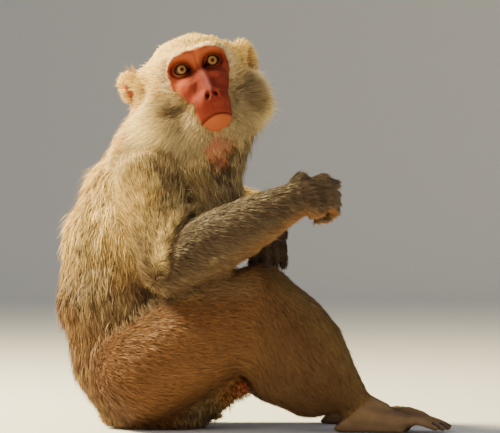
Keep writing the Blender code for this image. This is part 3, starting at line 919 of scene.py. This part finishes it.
def paint(red_part, green_part, blue_part):
    """A colour told as a painter's 0 to 255, turned into light."""
    parts = [part / 255 for part in (red_part, green_part, blue_part)]
    return (*[p / 12.92 if p <= 0.04045 else ((p + 0.055) / 1.055) ** 2.4 for p in parts], 1.0)


def blend(tree, share, first, second, mode="MIX"):
    """Mixes two colours."""
    settings = {"data_type": "RGBA", "blend_type": mode}
    return add_node(tree, "ShaderNodeMix", settings, {0: share, 6: first, 7: second}, 2)


def mark(tree, name):
    """A marking kept on the surface, as a value."""
    return add_node(tree, "ShaderNodeAttribute", {"attribute_name": name}, None, 2)


def grain(tree, size, detail=3.0, rough=0.55, stretch=None):
    """Noise from 0 to 1, with features of a size in metres."""
    place = add_node(tree, "ShaderNodeTexCoord", None, None, 3)
    if stretch:
        place = add_node(tree, "ShaderNodeMapping", None, {0: place, 3: stretch})
    inputs = {"Vector": place, "Scale": 1 / size, "Detail": detail, "Roughness": rough}
    return add_node(tree, "ShaderNodeTexNoise", None, inputs)


def new_material(name):
    """An empty node tree with a Principled shader and its output."""
    made = bpy.data.materials.new(name)
    made.use_nodes = True
    return made, made.node_tree, made.node_tree.nodes["Principled BSDF"]


def feed(tree, shader, name, value):
    """Sets a socket of the shader, or links a wire to it."""
    if isinstance(value, Wire):
        tree.links.new(value.socket, shader.inputs[name])
    else:
        shader.inputs[name].default_value = value


# Some of these colours paint light and shade: the dark brown spots are partly painted shade, the crease
# colour is painted shade, the darker shank is partly painted shade, the cheek patches are painted shade
# beside the beard's own dark hair, the cream on the elbow's fold is a painted highlight, and the paler shin
# is partly a painted highlight.
PELT = [
    ("rust", paint(116, 74, 36)),
    ("shank", paint(74, 52, 28)),
    ("umber", paint(122, 94, 62)),
    ("arm", paint(86, 68, 49)),
    ("warm", paint(160, 108, 60)),
    ("shin", paint(122, 94, 52)),
    ("belly", paint(134, 108, 74)),
    ("orange", paint(226, 168, 82)),
    ("crown", paint(250, 215, 128)),
    ("cheek", paint(180, 156, 112)),
    ("ruff", paint(244, 220, 156)),
    ("band", paint(236, 212, 168)),
    ("shade", paint(96, 74, 52)),
    ("groin", paint(176, 116, 66)),
    ("fold", paint(246, 214, 144)),
    ("crease", paint(80, 58, 38)),
]
GOLD = paint(234, 196, 118)


def pelt(tree):
    """The coat's colour at a place, from its markings."""
    colour = GOLD
    for name, tint in PELT:
        colour = blend(tree, mark(tree, name), colour, tint)
    return colour


# %% [markdown]
# ## Skin
# Bare skin is never one colour. The face is crimson, mottled where blood pools, orange on the chin,
# with painted sunlight in orange on the brows and high on the cheeks, deeper crimson partly from
# painted shade beside the nose and on the muzzle, and a mauve skin with a painted sheen on the
# bridge of the nose; hands and feet are grey-brown and wrinkled. Under the coat the skin takes the
# coat's own colour, darker, so that gaps between tufts read as shade.

# %% The skin's material
skin_paint, tree, shader = new_material("macaque_skin")
blotch = grain(tree, 0.012, 4.0)
fine = grain(tree, 0.0022, 3.0)
shaded = blend(tree, mark(tree, "fair"), paint(150, 128, 112), paint(232, 212, 190))
under = blend(tree, 1.0, pelt(tree), shaded, "MULTIPLY")
face_colour = blend(tree, (blotch * 2.4 - 0.7).clamped(), paint(106, 35, 26), paint(130, 57, 38))
face_colour = blend(tree, fine * 0.3, face_colour, paint(120, 38, 28))
# Deeper crimson on the nose and the muzzle's sides, partly the skin's own colour and partly painted shade.
face_colour = blend(tree, mark(tree, "flush"), face_colour, paint(104, 34, 28))
face_colour = blend(tree, mark(tree, "sunny"), face_colour, paint(178, 90, 50))
hand_colour = blend(tree, (blotch * 2 - 0.5).clamped(), paint(112, 88, 66), paint(132, 106, 78))
ear_colour = blend(tree, (blotch * 2 - 0.5).clamped(), paint(196, 104, 72), paint(150, 70, 52))
colour = blend(tree, mark(tree, "throat"), under, paint(166, 100, 74))
colour = blend(tree, mark(tree, "pink"), colour, paint(206, 96, 84))
colour = blend(tree, mark(tree, "nude"), colour, hand_colour)
colour = blend(tree, mark(tree, "ear"), colour, ear_colour)
colour = blend(tree, mark(tree, "red"), colour, face_colour)
# The bridge of the nose: its own mauve skin with a painted sheen.
colour = blend(tree, mark(tree, "pale"), colour, paint(196, 140, 140))
colour = blend(tree, mark(tree, "chin"), colour, paint(184, 98, 54))
colour = blend(tree, mark(tree, "dark"), colour, paint(50, 26, 15))
feed(tree, shader, "Base Color", colour)
feed(tree, shader, "Roughness", 0.8 - fine * 0.16)
shader.inputs["Specular IOR Level"].default_value = 0.1
cells = add_node(tree, "ShaderNodeTexVoronoi", {"feature": "DISTANCE_TO_EDGE"},
                 {"Vector": add_node(tree, "ShaderNodeTexCoord", None, None, 3), "Scale": 620.0})
wrinkle = fine * 0.7 + cells * 0.5
bump = add_node(tree, "ShaderNodeBump", None, {"Strength": 0.22, "Distance": 0.0006, "Height": wrinkle})
feed(tree, shader, "Normal", bump)

# Dark at the rims of the eye openings, the lids' own colour, and painted shade in the nostril pits and along
# the line of the mouth.
inside = np.minimum(lid_distance(in_head, "right"), lid_distance(in_head, "left"))
dark = (1 - ramp(0.2, 1.3, inside)) * (red > 0.2) * (np.abs(in_head[:, 0]) < 30)
dark = np.maximum(dark, 0.6 * groove(in_head, mouth, 0.5) * (in_head[:, 1] > 5))
for side in (-1, 1):
    pit = hill(in_head, side * NOSTRIL[0], NOSTRIL[1], 1.5, 2.4, side * 0.5)
    dark = np.maximum(dark, ramp(0.35, 0.8, pit) * (in_head[:, 1] > 10))
store(skin.data, "dark", np.clip(dark, 0, 1))
# A narrow pale mauve strip down the bridge of the nose: the skin's own mauve and a painted sheen.
bridge = groove(in_head, [(0, -8), (-1, -20), (0, -32)], 1.7) * (in_head[:, 1] > 0)
store(skin.data, "pale", 0.2 * bridge)
store(skin.data, "pink", near(points, GROIN + np.array((0.004, -0.026, -0.006)), (0.009, 0.02, 0.011)))
front_face = in_head[:, 1] > -20
# Deeper crimson over the nose and beside it and on the muzzle: partly the skin's own colour, partly painted
# shade.
flush = 1.4 * hill(in_head, 0, -20, 5, 13)
for side in (-1, 1):
    flush += hill(in_head, side * 11, -20, 5, 9) + 0.7 * hill(in_head, side * 13, -44, 6, 9)
store(skin.data, "flush", np.clip(flush, 0, 1) * 0.55 * front_face)
sunny = hill(in_head, 20, 13, 10, 4) + hill(in_head, -20, 13, 10, 4) + hill(in_head, 0, 8, 6, 9)
store(skin.data, "sunny", np.clip(sunny + 0.4 * hill(in_head, 27, -14, 6, 8), 0, 1) * 0.7 * front_face)
below_mouth = ramp(0, 3, mouth_line(in_head[:, 0]) - in_head[:, 2]) * (in_head[:, 1] > -12) * red
store(skin.data, "chin", 0.6 * below_mouth)
skin.data.materials.clear()
skin.data.materials.append(skin_paint)
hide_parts(*FLESH)
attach(skin, "root")
print("skin painted")

# %% [markdown]
# ## Eyes
# A macaque's eye is nearly all iris: pale straw with a brown pupil, a dark ring at its edge, and
# dark where ours is white. The ball bulges at the cornea, and a clear coat gives its wet gloss.

# %% Eyeballs
IRIS_RADIUS = 5.2 * MM
CORNEA_BULGE = 0.55 * MM
GAZE = unit(np.array((0.0, 1.0, 0.0)))


def eyeball(side):
    """A ball with its pole at the pupil, so that rings round the pole are rings of the iris."""
    shape = bmesh.new()
    bmesh.ops.create_uvsphere(shape, u_segments=48, v_segments=40, radius=EYE_RADIUS)
    mesh = bpy.data.meshes.new(side + "_eyeball")
    shape.to_mesh(mesh)
    shape.free()
    ball, _ = mesh_arrays(mesh)
    off_axis = np.hypot(ball[:, 0], ball[:, 1])
    bulge = CORNEA_BULGE * np.exp(-((off_axis / (IRIS_RADIUS * 0.95)) ** 4)) * (ball[:, 2] > 0)
    ball[:, 2] += bulge
    gaze = Vector(HEAD_AXES @ GAZE)
    turn = np.array(gaze.to_track_quat("Z", "Y").to_matrix())
    set_points(mesh, ball @ turn.T + np.array(centre_of(side + "_eye")))
    store(mesh, "off_axis", off_axis / MM + (ball[:, 2] < 0) * 20)
    store(mesh, "round_iris", np.arctan2(ball[:, 1], ball[:, 0]) / math.pi)
    mesh.shade_smooth()
    return link(bpy.data.objects.new(side + "_eyeball", mesh))


eye_paint, tree, shader = new_material("straw_iris")
off = mark(tree, "off_axis")
stripes = add_node(tree, "ShaderNodeTexNoise", {"noise_dimensions": "2D"}, {
    "Vector": add_node(tree, "ShaderNodeCombineXYZ", None, {0: mark(tree, "round_iris") * 16, 1: off * 0.3}),
    "Scale": 2.0, "Detail": 2.0,
})
iris = blend(tree, stripes, paint(112, 74, 34), paint(166, 122, 66))
in_iris = 1 - ((off - 4.55) * 1.8).clamped()
outside = ((off - 5.2) * 3).clamped()
in_pupil = 1 - ((off - 1.75) * 2.5).clamped()
halo = (1 - ((off - 2.2) * 1.3).clamped()) * 0.75
colour = blend(tree, in_iris, paint(62, 34, 16), iris)
colour = blend(tree, halo, colour, paint(112, 66, 34))
colour = blend(tree, outside, colour, paint(44, 24, 14))
colour = blend(tree, in_pupil, colour, paint(50, 22, 8))
feed(tree, shader, "Base Color", colour)
shader.inputs["Roughness"].default_value = 0.45
shader.inputs["Specular IOR Level"].default_value = 0.08
shader.inputs["Coat Weight"].default_value = 0.14
shader.inputs["Coat Roughness"].default_value = 0.03
for side in EYES:
    ball = eyeball(side)
    ball.data.materials.append(eye_paint)
    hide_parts(side + "_eye")
    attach(ball, "root")
print("eyeballs", len(EYES))

# %% [markdown]
# ## Nails
# Each nail is a thin plate let down onto the end of a finger or toe, as a cloth drops on a table:
# rays find the skin under a small grid, and the plate keeps straight past the fingertip. A row of
# digits shares one direction along and one direction up.

# %% Nails
NAIL_STEPS = (-6.0, -4.0, -2.0, 0.0, 2.0, 3.6)
NAIL_HALF = 3.3
NAIL_COLUMNS = 7
NAIL_THICK = 0.5
NAIL_LIFT = 0.25
FINGER_REST = 4.6
RAY_START = 11
RAY_LENGTH = 12
DIGITS = {
    "right_hand": [
        (((0.40, 0.88, 0.60), (0.47, 0.82, 0.40), (0.49, 0.71, 0.22), (0.54, 0.55, 0.08)),
         (-0.97, -0.2, -0.14), (-0.11, 0.86, -0.5)),
        (((0.87, 0.54, 0.77),), (0.95, 0.1, -0.29), (0.01, -0.88, 0.48)),
    ],
    "left_hand": [
        (((0.31, 0.11, 0.14), (0.52, 0.08, 0.08), (0.72, 0.16, 0.09), (0.90, 0.29, 0.18)),
         (-0.1, 0.06, -0.99), (0.18, -0.98, -0.08)),
        (((0.11, 0.37, 0.42),), (0.01, -0.82, -0.58), (0.13, -0.23, 0.97)),
    ],
    "right_foot": [
        (((0.93, 0.64, 0.14), (0.96, 0.44, 0.14), (0.92, 0.25, 0.14), (0.85, 0.06, 0.16)),
         (0.89, -0.06, -0.45), (0.45, 0.0, 0.89)),
        (((0.67, 0.91, 0.20),), (0.97, 0.22, -0.12), (0.12, 0.0, 0.99)),
    ],
    "left_foot": [
        (((0.94, 0.36, 0.14), (0.97, 0.56, 0.13), (0.92, 0.75, 0.14), (0.85, 0.93, 0.16)),
         (0.89, 0.06, -0.45), (0.45, 0.0, 0.89)),
        (((0.67, 0.09, 0.20),), (0.97, -0.22, -0.12), (0.12, 0.0, 0.99)),
    ],
}
skin_finder = BVHTree.FromPolygons(points.tolist(), faces.tolist())
nail_paint = plain_material("dark_nail", paint(52, 40, 34), 0.35)


def nail_grid(middle, along, up):
    """Points of the top and the under side of one nail, row by row."""
    across = up.cross(along).normalized()
    top, under = [], []
    last = {}
    for step in NAIL_STEPS:
        for column in range(NAIL_COLUMNS):
            aside = NAIL_HALF * (2 * column / (NAIL_COLUMNS - 1) - 1) * (1 if step < 3 else 0.7)
            base = middle + (along * step + across * aside) * MM
            ray = (base + up * RAY_START * MM, -up, RAY_LENGTH * MM)
            hit = skin_finder.ray_cast(*ray)[0] if step < 1 else None
            tall = (hit - base).dot(up) / MM if hit else last.get(column, FINGER_REST)
            tall = min(max(tall, FINGER_REST - 2.5), FINGER_REST + 1.0)
            last[column] = tall - 0.12 * max(step, 0)
            top.append(base + up * (tall + NAIL_LIFT) * MM)
            under.append(base + up * (tall + NAIL_LIFT - NAIL_THICK) * MM)
    return top, under


def nails_of(name):
    """All the nails of one hand or foot as one object."""
    low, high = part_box(name)
    shape = bmesh.new()
    for places, along, up in DIGITS[name]:
        along, up = Vector(along).normalized(), Vector(up)
        up = (up - along * up.dot(along)).normalized()
        for place in places:
            middle = Vector([low[n] + (high[n] - low[n]) * place[n] for n in range(3)])
            top, under = ([shape.verts.new(p) for p in side] for side in nail_grid(middle, along, up))
            rows, wide = len(NAIL_STEPS), NAIL_COLUMNS
            for row in range(rows - 1):
                for column in range(wide - 1):
                    n = row * wide + column
                    quad = (n, n + 1, n + 1 + wide, n + wide)
                    shape.faces.new([top[m] for m in quad])
                    shape.faces.new([under[m] for m in quad[::-1]])
            edge = [*range(wide), *range(2 * wide - 1, rows * wide, wide)]
            edge += [*range(rows * wide - 2, (rows - 1) * wide - 1, -1), *range((rows - 2) * wide, 0, -wide)]
            for here, after in zip(edge, edge[1:] + edge[:1]):
                shape.faces.new((top[after], top[here], under[here], under[after]))
    bmesh.ops.recalc_face_normals(shape, faces=shape.faces)
    mesh = bpy.data.meshes.new(name + "_nails")
    shape.to_mesh(mesh)
    shape.free()
    mesh.shade_smooth()
    mesh.materials.append(nail_paint)
    thing = link(bpy.data.objects.new(name + "_nails", mesh))
    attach(thing, "root")
    return thing


nails = [nails_of(name) for name in DIGITS]
print("nails", {thing.name: len(thing.data.polygons) for thing in nails})

# %% [markdown]
# ## The coat's tufts
# A coat is the same small thing many thousand times, which is what Geometry Nodes are for. One
# tuft is a narrow curved blade. The tree scatters points over a part of the skin, turns each blade
# to the lie of the hair there, scales it to the coat's depth and length, and makes it all real.
# A second, sparser scatter gives the hearts of the locks, and every blade leans towards the nearest
# one. Each tuft also notes where its root is on an unwrap of the skin.

# %% Four blades
BLADE_STEPS = (0.0, 0.5, 1.0)
BLADE_WIDTHS = (0.8, 1.0, 0.0)
BLADE_BENDS = (-0.11, -0.035, 0.04, 0.12)
blade_shelf = bpy.data.collections.new("blades")


def blade(number, bend):
    """A blade one unit long and one high: it rises from the root and lies down to its tip."""
    corners, edge_marks, along_marks = [], [], []
    for t, wide in zip(BLADE_STEPS, BLADE_WIDTHS):
        rise = 1 - (1 - t) ** 1.9
        for edge in ((-0.5, 0.5) if wide else (0.0,)):
            corners.append((rise, edge * wide + bend * t * t * 6, t))
            edge_marks.append(edge + 0.5)
            along_marks.append(t)
    made = [(0, 1, 3, 2), (2, 3, 4)]
    mesh = bpy.data.meshes.new(f"blade_{number}")
    mesh.from_pydata(corners, [], made)
    store(mesh, "along", along_marks)
    store(mesh, "across", edge_marks)
    mesh.shade_smooth()
    thing = bpy.data.objects.new(f"blade_{number}", mesh)
    blade_shelf.objects.link(thing)


for number, bend in enumerate(BLADE_BENDS):
    blade(number, bend)

# %% The tree that grows a coat
PATCH = 0.003
CLUMP_SCALE = 95.0
CIRCLE = 3.14
SHORTEST = 0.009
FARTHEST_FROM_HEART = 1.4
SLIMMING = 170.0


def group_input(tree, name):
    """A wire from one of the tree's own inputs."""
    for node in tree.nodes:
        if node.bl_idname == "NodeGroupInput":
            return Wire(tree, node.outputs[name])
    return Wire(tree, tree.nodes.new("NodeGroupInput").outputs[name])


def field(tree, name, kind="FLOAT"):
    """A named attribute of the geometry."""
    return add_node(tree, "GeometryNodeInputNamedAttribute", {"data_type": kind}, {"Name": name})


def vector_math(tree, operation, first, second=None, scale=None, output=0):
    """A Vector Math node."""
    inputs = {0: first}
    if second is not None:
        inputs[1] = second
    if scale is not None:
        inputs["Scale"] = scale
    return add_node(tree, "ShaderNodeVectorMath", {"operation": operation}, inputs, output)


def random_value(tree, low, high, seed, number=None):
    """A number of its own for each tuft, or one shared by all tufts that hold the same whole number."""
    inputs = {2: low, 3: high, 8: seed}
    if number is not None:
        inputs[7] = number
    return add_node(tree, "FunctionNodeRandomValue", {"data_type": "FLOAT"}, inputs, 1)


def coat_tree():
    """Builds the node tree: skin in, tufts out."""
    tree = bpy.data.node_groups.new("coat", "GeometryNodeTree")
    new = tree.interface.new_socket
    new(name="Skin", in_out="INPUT", socket_type="NodeSocketGeometry")
    for name in ("Density", "Width", "Disorder", "Clump", "Lock Size", "Gather"):
        new(name=name, in_out="INPUT", socket_type="NodeSocketFloat")
    new(name="Seed", in_out="INPUT", socket_type="NodeSocketInt")
    new(name="Blades", in_out="INPUT", socket_type="NodeSocketCollection")
    new(name="Finish", in_out="INPUT", socket_type="NodeSocketMaterial")
    new(name="Coat", in_out="OUTPUT", socket_type="NodeSocketGeometry")
    seed = group_input(tree, "Seed")
    scatter = add_node(tree, "GeometryNodeDistributePointsOnFaces", None, {
        "Mesh": group_input(tree, "Skin"),
        "Density": group_input(tree, "Density") * field(tree, "cover"),
        "Seed": seed,
    })
    up = Wire(tree, scatter.socket.node.outputs["Normal"])
    place = add_node(tree, "GeometryNodeInputPosition")
    noise_inputs = {"Vector": place, "Scale": CLUMP_SCALE, "Detail": 2.0}
    clumps = add_node(tree, "ShaderNodeTexNoise", None, noise_inputs, 1)
    clumps = vector_math(tree, "SUBTRACT", clumps, (0.5, 0.5, 0.5))
    clumps = vector_math(tree, "SCALE", clumps, scale=group_input(tree, "Clump"))
    lock_size = group_input(tree, "Lock Size")
    locks = add_node(tree, "GeometryNodeDistributePointsOnFaces", None, {
        "Mesh": group_input(tree, "Skin"),
        "Density": (lock_size * lock_size * CIRCLE) ** -1.0,
        "Seed": seed + 11,
    })
    nearest = add_node(tree, "GeometryNodeSampleNearest", {"domain": "POINT"},
                       {"Geometry": locks, "Sample Position": place})
    heart = add_node(tree, "GeometryNodeSampleIndex", {"data_type": "FLOAT_VECTOR", "domain": "POINT"},
                     {"Geometry": locks, "Value": place, "Index": nearest})
    inward = vector_math(tree, "SUBTRACT", heart, place)
    reach = field(tree, "reach_along")
    pull = group_input(tree, "Gather") * reach.math("MAXIMUM", SHORTEST) ** -1.0
    gather = vector_math(tree, "SCALE", inward, scale=pull)
    off_heart = vector_math(tree, "LENGTH", inward, output=1) * lock_size ** -1.0
    off_heart = off_heart.math("MINIMUM", FARTHEST_FROM_HEART)
    stray = add_node(tree, "FunctionNodeRandomValue", {"data_type": "FLOAT_VECTOR"}, {
        0: (-1, -1, -1), 1: (1, 1, 1), 8: seed + 7,
    })
    stray = vector_math(tree, "SCALE", stray, scale=group_input(tree, "Disorder"))
    way = vector_math(tree, "ADD", field(tree, "lie", "FLOAT_VECTOR"), clumps)
    way = vector_math(tree, "ADD", vector_math(tree, "ADD", way, stray), gather)
    toward_up = vector_math(tree, "DOT_PRODUCT", way, up, output=1)
    flat = vector_math(tree, "SUBTRACT", way, vector_math(tree, "SCALE", up, scale=toward_up))
    turn = add_node(tree, "FunctionNodeAlignRotationToVector", {"axis": "Z"}, {"Vector": flat})
    turn = add_node(tree, "FunctionNodeAlignRotationToVector", {"axis": "X", "pivot_axis": "Z"},
                    {"Rotation": turn, "Vector": up})
    roll = add_node(tree, "FunctionNodeAxisAngleToRotation", None,
                    {"Axis": (0, 0, 1), "Angle": random_value(tree, -0.75, 0.75, seed + 1)})
    turn = add_node(tree, "FunctionNodeRotateRotation", {"rotation_space": "LOCAL"}, {0: turn, 1: roll})
    tall = field(tree, "reach_up") * random_value(tree, 0.45, 1.0, seed + 2) * (1.15 - off_heart * 0.35)
    slim = (reach * SLIMMING).math("MAXIMUM", 0.4).math("MINIMUM", 1.0)
    wide = group_input(tree, "Width") * random_value(tree, 0.7, 1.3, seed + 3) * slim
    long = reach * random_value(tree, 0.65, 1.1, seed + 4) * random_value(tree, 0.8, 1.15, seed + 8, nearest)
    flyaway = random_value(tree, 0.0, 1.0, seed + 12) ** 12.0
    tall = tall * (flyaway * 1.1 + 1.0)
    long = long * (flyaway * 0.4 + 1.0)
    own = random_value(tree, 0.0, 1.0, seed + 6)
    shared = random_value(tree, 0.0, 1.0, seed + 9, nearest)
    # Each tuft's tone is random, partly shared with its lock, and lower away from the lock's heart: painted
    # shade in the gaps between locks.
    tone = own * 0.3 + shared * 0.5 + (1.0 - off_heart) * 0.22
    size = add_node(tree, "ShaderNodeCombineXYZ", None, {0: tall, 1: wide, 2: long})
    shelf = add_node(tree, "GeometryNodeCollectionInfo", None, {
        "Collection": group_input(tree, "Blades"), "Separate Children": True, "Reset Children": True,
    })
    pick = add_node(tree, "FunctionNodeRandomValue", {"data_type": "INT"},
                    {4: 0, 5: len(BLADE_BENDS) - 1, 8: seed + 5}, 2)
    marked = add_node(tree, "GeometryNodeStoreNamedAttribute", {"data_type": "FLOAT", "domain": "POINT"}, {
        "Geometry": scatter, "Name": "tone", "Value": tone,
    })
    tufts = add_node(tree, "GeometryNodeInstanceOnPoints", None, {
        "Points": marked, "Instance": shelf, "Pick Instance": True, "Instance Index": pick,
        "Rotation": turn, "Scale": size,
    })
    real = add_node(tree, "GeometryNodeRealizeInstances", None, {0: tufts})
    within = add_node(tree, "ShaderNodeCombineXYZ", None, {
        0: (field(tree, "across") - 0.5) * PATCH, 1: (field(tree, "along") - 0.5) * PATCH,
    })
    mapped = vector_math(tree, "ADD", field(tree, "root_place", "FLOAT_VECTOR"), within)
    real = add_node(tree, "GeometryNodeStoreNamedAttribute", {"data_type": "FLOAT2", "domain": "CORNER"}, {
        "Geometry": real, "Name": "OFBake", "Value": mapped,
    })
    real = add_node(tree, "GeometryNodeSetMaterial", None,
                    {"Geometry": real, "Material": group_input(tree, "Finish")})
    result = tree.nodes.new("NodeGroupOutput")
    tree.links.new(real.socket, result.inputs["Coat"])
    return tree


COAT_TREE = coat_tree()
print("coat tree nodes", len(COAT_TREE.nodes))

# %% [markdown]
# ## Where the hair is thick, long and flat
# Three more numbers go on the skin's points: how closely the tufts stand, how high they rise and
# how far they reach. The face and the feet get none, the palms few, the face's edge short ones, and
# the back and the ruff long ones.

# %% Length, rise and cover of the hair
HAIR_LENGTH = {
    "head": 12, "neck": 20, "trunk": 21, "tail_root": 14, "tail_tip": 10, "upper_arm": 17,
    "forearm": 13, "hand": 8.5, "thigh": 14, "shank": 12, "foot": 4.5, "ear": 9,
}
depth = read(skin.data, "depth")
lie = unit(read(skin.data, "lie"))
length = sum(is_[name] * HAIR_LENGTH[name] for name in is_)
temple = head_all * np.clip(near(in_head, (56, -46, 10), (16, 16, 18))
                            + near(in_head, (-56, -46, 10), (16, 16, 18)), 0, 1)
small = is_["hand"] + is_["foot"] + is_["ear"]
at_elbow = np.clip(sum(read(skin.data, name) for name in ("fold", "crease", "behind_ridge")), 0, 1)
length = length * (1 + 0.9 * np.clip(marks["ruff"] + 0.45 * marks["cheek"], 0, 1) + 0.5 * temple)
length = length * (0.3 + 0.7 * np.clip(ramp(0.3, 3.4, depth) + small, 0, 1))
under_seat = np.clip(is_["trunk"] * ramp(0.2, 0.8, -facing[:, 2]) * (1 - ramp(0.12, 0.3, height)), 0, 1)
throat_area = near(points, THROAT + np.array((0, 0, 0.018)), (0.034, 0.06, 0.05))
for share, where in ((0.4, at_elbow), (0.75, marks["groin"]), (0.6, throat_area), (0.5, under_seat)):
    length = length * (1 - share * where)
bare = np.clip(bowl + 0.93 * marks["throat"] + 0.5 * marks["groin"], 0, 1)
palm = is_["hand"] * (1 - back_of_hand)
cover = (1 - bare) * (1 - ramp(0.3, 0.99, ring)) ** 1.4
cover = cover * (1 - 0.85 * palm) * (1 - ramp(0.25, 0.6, is_["foot"])) * (1 - 0.3 * is_["ear"])
cover[on_lids] = 0
rise = np.maximum(depth, 0.8 + 2.2 * is_["ear"]) * 1.05 + 3.0 * marks["ruff"] + 2.5 * temple
fluff = head_all * ramp(2, 22, z) * ramp(0.8, 2.4, depth) * (1 - ramp(0.0, 0.12, ring))
rise = rise + 1.6 * is_["trunk"] + 2.0 * fluff
store(skin.data, "lie", lie)
store(skin.data, "reach_up", rise * MM)
store(skin.data, "reach_along", length * MM)
store(skin.data, "cover", cover)
print("hair length up to", round(float(length.max()), 1), "mm")

# %% [markdown]
# ## Growing the coat
# The coat is made in pieces, one for each part of the body, so that each mesh stays small enough
# to handle. Every piece gets its own unwrap of the skin under it.

# %% The hair's material
hair_paint, tree, shader = new_material("macaque_hair")
tone = mark(tree, "tone")
along = mark(tree, "along")
base = pelt(tree)
calm = (mark(tree, "fair") * 0.8 + mark(tree, "plain") * 0.7).clamped()
streak = grain(tree, 0.016, 2.0)
patchy = grain(tree, 0.05, 2.0)
# Each tuft darkens towards its root and may lighten at its tip: the dark roots are partly the hair's own
# banding and partly painted shade deep in the coat, and the pale tips partly the hair's own and partly a
# painted highlight.
deep = blend(tree, calm, paint(104, 84, 70), paint(206, 184, 160))
dark_root = blend(tree, 1.0, base, deep, "MULTIPLY")
tip_gain = (0.5 - calm * 0.4 - mark(tree, "rust") * 0.3 - mark(tree, "crease") * 0.5).clamped()
pale_tip_and_highlight = blend(tree, tip_gain, base, paint(255, 232, 160))
lit = along * 0.9 + tone * 1.3 + streak * 0.9 + patchy * 0.8 - 1.3 + calm * 0.25
colour = blend(tree, lit.clamped(), dark_root, base)
colour = blend(tree, (tone * 2.4 + along * 0.8 + streak - 2.2 - calm * 0.8).clamped(), colour, pale_tip_and_highlight)
feed(tree, shader, "Base Color", colour)
feed(tree, shader, "Roughness", 0.62 - tone * 0.14)
shader.inputs["Specular IOR Level"].default_value = 0.22
shader.inputs["Sheen Weight"].default_value = 0.06
print("hair painted")

# %% Grow the pieces
COAT_PIECES = {
    "head_coat": (("head", "right_ear", "left_ear"), 0, 64000, 0.46, 1.5),
    "neck_coat": (("neck",), 0, 50000, 0.62, 2.4),
    "back_coat": (("trunk",), -1, 65000, 0.72, 2.7),
    "front_coat": (("trunk",), 1, 34000, 0.8, 2.6),
    "right_arm_coat": (("right_upper_arm", "right_forearm", "right_hand"), 0, 65000, 0.52, 1.7),
    "left_arm_coat": (("left_upper_arm", "left_forearm", "left_hand"), 0, 36000, 0.68, 1.9),
    "right_thigh_coat": (("right_thigh",), 0, 56000, 0.56, 1.7),
    "left_thigh_coat": (("left_thigh",), 0, 30000, 0.8, 2.0),
    "right_shank_coat": (("right_shank", "right_foot"), 0, 48000, 0.55, 1.5),
    "left_shank_coat": (("left_shank", "left_foot"), 0, 30000, 0.7, 1.7),
    "tail_coat": (("tail_root", "tail_tip"), 0, 11000, 0.7, 1.7),
}
UNWRAP_ANGLE = math.radians(66)
ISLAND_MARGIN = 0.002
MAP_EDGE = 0.004
FLOOR_GAP = 0.3 * MM
BLADE_CORNERS = 5
SEED_STEP = 100


def patch_of(nodes, part):
    """A copy of the skin under some solids, or their back (-1) or front (1) part, unwrapped."""
    shape = bmesh.new()
    shape.from_mesh(skin.data)
    numbers = [FLESH.index(name) for name in nodes]
    wanted = np.isin(face_owner, numbers)
    if part:
        wanted &= (face_middles[:, 0] - centre_of(nodes[0]).x) * part > 0
    shape.faces.ensure_lookup_table()
    bmesh.ops.delete(shape, geom=[f for f in shape.faces if not wanted[f.index]], context="FACES")
    mesh = bpy.data.meshes.new("patch")
    shape.to_mesh(mesh)
    shape.free()
    thing = link(bpy.data.objects.new("patch", mesh))
    bpy.context.view_layer.objects.active = thing
    thing.select_set(True)
    bpy.ops.object.mode_set(mode="EDIT")
    bpy.ops.mesh.select_all(action="SELECT")
    bpy.ops.uv.smart_project(angle_limit=UNWRAP_ANGLE, island_margin=ISLAND_MARGIN)
    bpy.ops.object.mode_set(mode="OBJECT")
    thing.select_set(False)
    flat = np.empty(len(mesh.loops) * 2, np.float32)
    mesh.uv_layers.active.data.foreach_get("uv", flat)
    flat = MAP_EDGE + (1 - 2 * MAP_EDGE) * flat.reshape(-1, 2)
    held = mesh.attributes.new("root_place", "FLOAT_VECTOR", "CORNER")
    held.data.foreach_set("vector", np.pad(flat, ((0, 0), (0, 1))).astype(np.float32).ravel())
    mesh.uv_layers.remove(mesh.uv_layers.active)
    return thing


def hair_weight(mesh):
    """Area times cover, summed over a patch: what the density is shared out over."""
    corners, triangles = mesh_arrays(mesh)
    spans = corners[triangles]
    area = np.linalg.norm(np.cross(spans[:, 1] - spans[:, 0], spans[:, 2] - spans[:, 0]), axis=1) / 2
    return float((area * read(mesh, "cover")[triangles].mean(axis=1)).sum())


def grown(name, nodes, part, tufts, width, lock, seed):
    """One piece of the coat, as a plain mesh."""
    patch = patch_of(nodes, part)
    values = {
        "Density": tufts / hair_weight(patch.data), "Width": width * MM, "Disorder": 0.27, "Clump": 0.7,
        "Lock Size": lock * MM, "Gather": 0.85,
        "Seed": seed, "Blades": blade_shelf, "Finish": hair_paint,
    }
    modifier = patch.modifiers.new("coat", "NODES")
    modifier.node_group = COAT_TREE
    for item in COAT_TREE.interface.items_tree:
        if item.in_out == "INPUT" and item.name in values:
            modifier[item.identifier] = values[item.name]
    finished(patch)
    mesh = patch.data
    mesh.name = patch.name = name
    tips, triangles = mesh_arrays(mesh)
    tips[:, 2] = np.maximum(tips[:, 2], FLOOR_GAP)
    set_points(mesh, tips)
    print(name, "tufts", len(tips) // BLADE_CORNERS, "triangles", len(triangles))
    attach(patch, "root")
    return patch


face_middles = points[faces].mean(axis=1)
face_owner = owner[[finder.find_nearest(p)[2] for p in face_middles.tolist()]]
coats = [grown(name, *plan, SEED_STEP * number) for number, (name, plan) in enumerate(COAT_PIECES.items())]
bpy.data.collections.remove(blade_shelf)
print("coat pieces", len(coats))
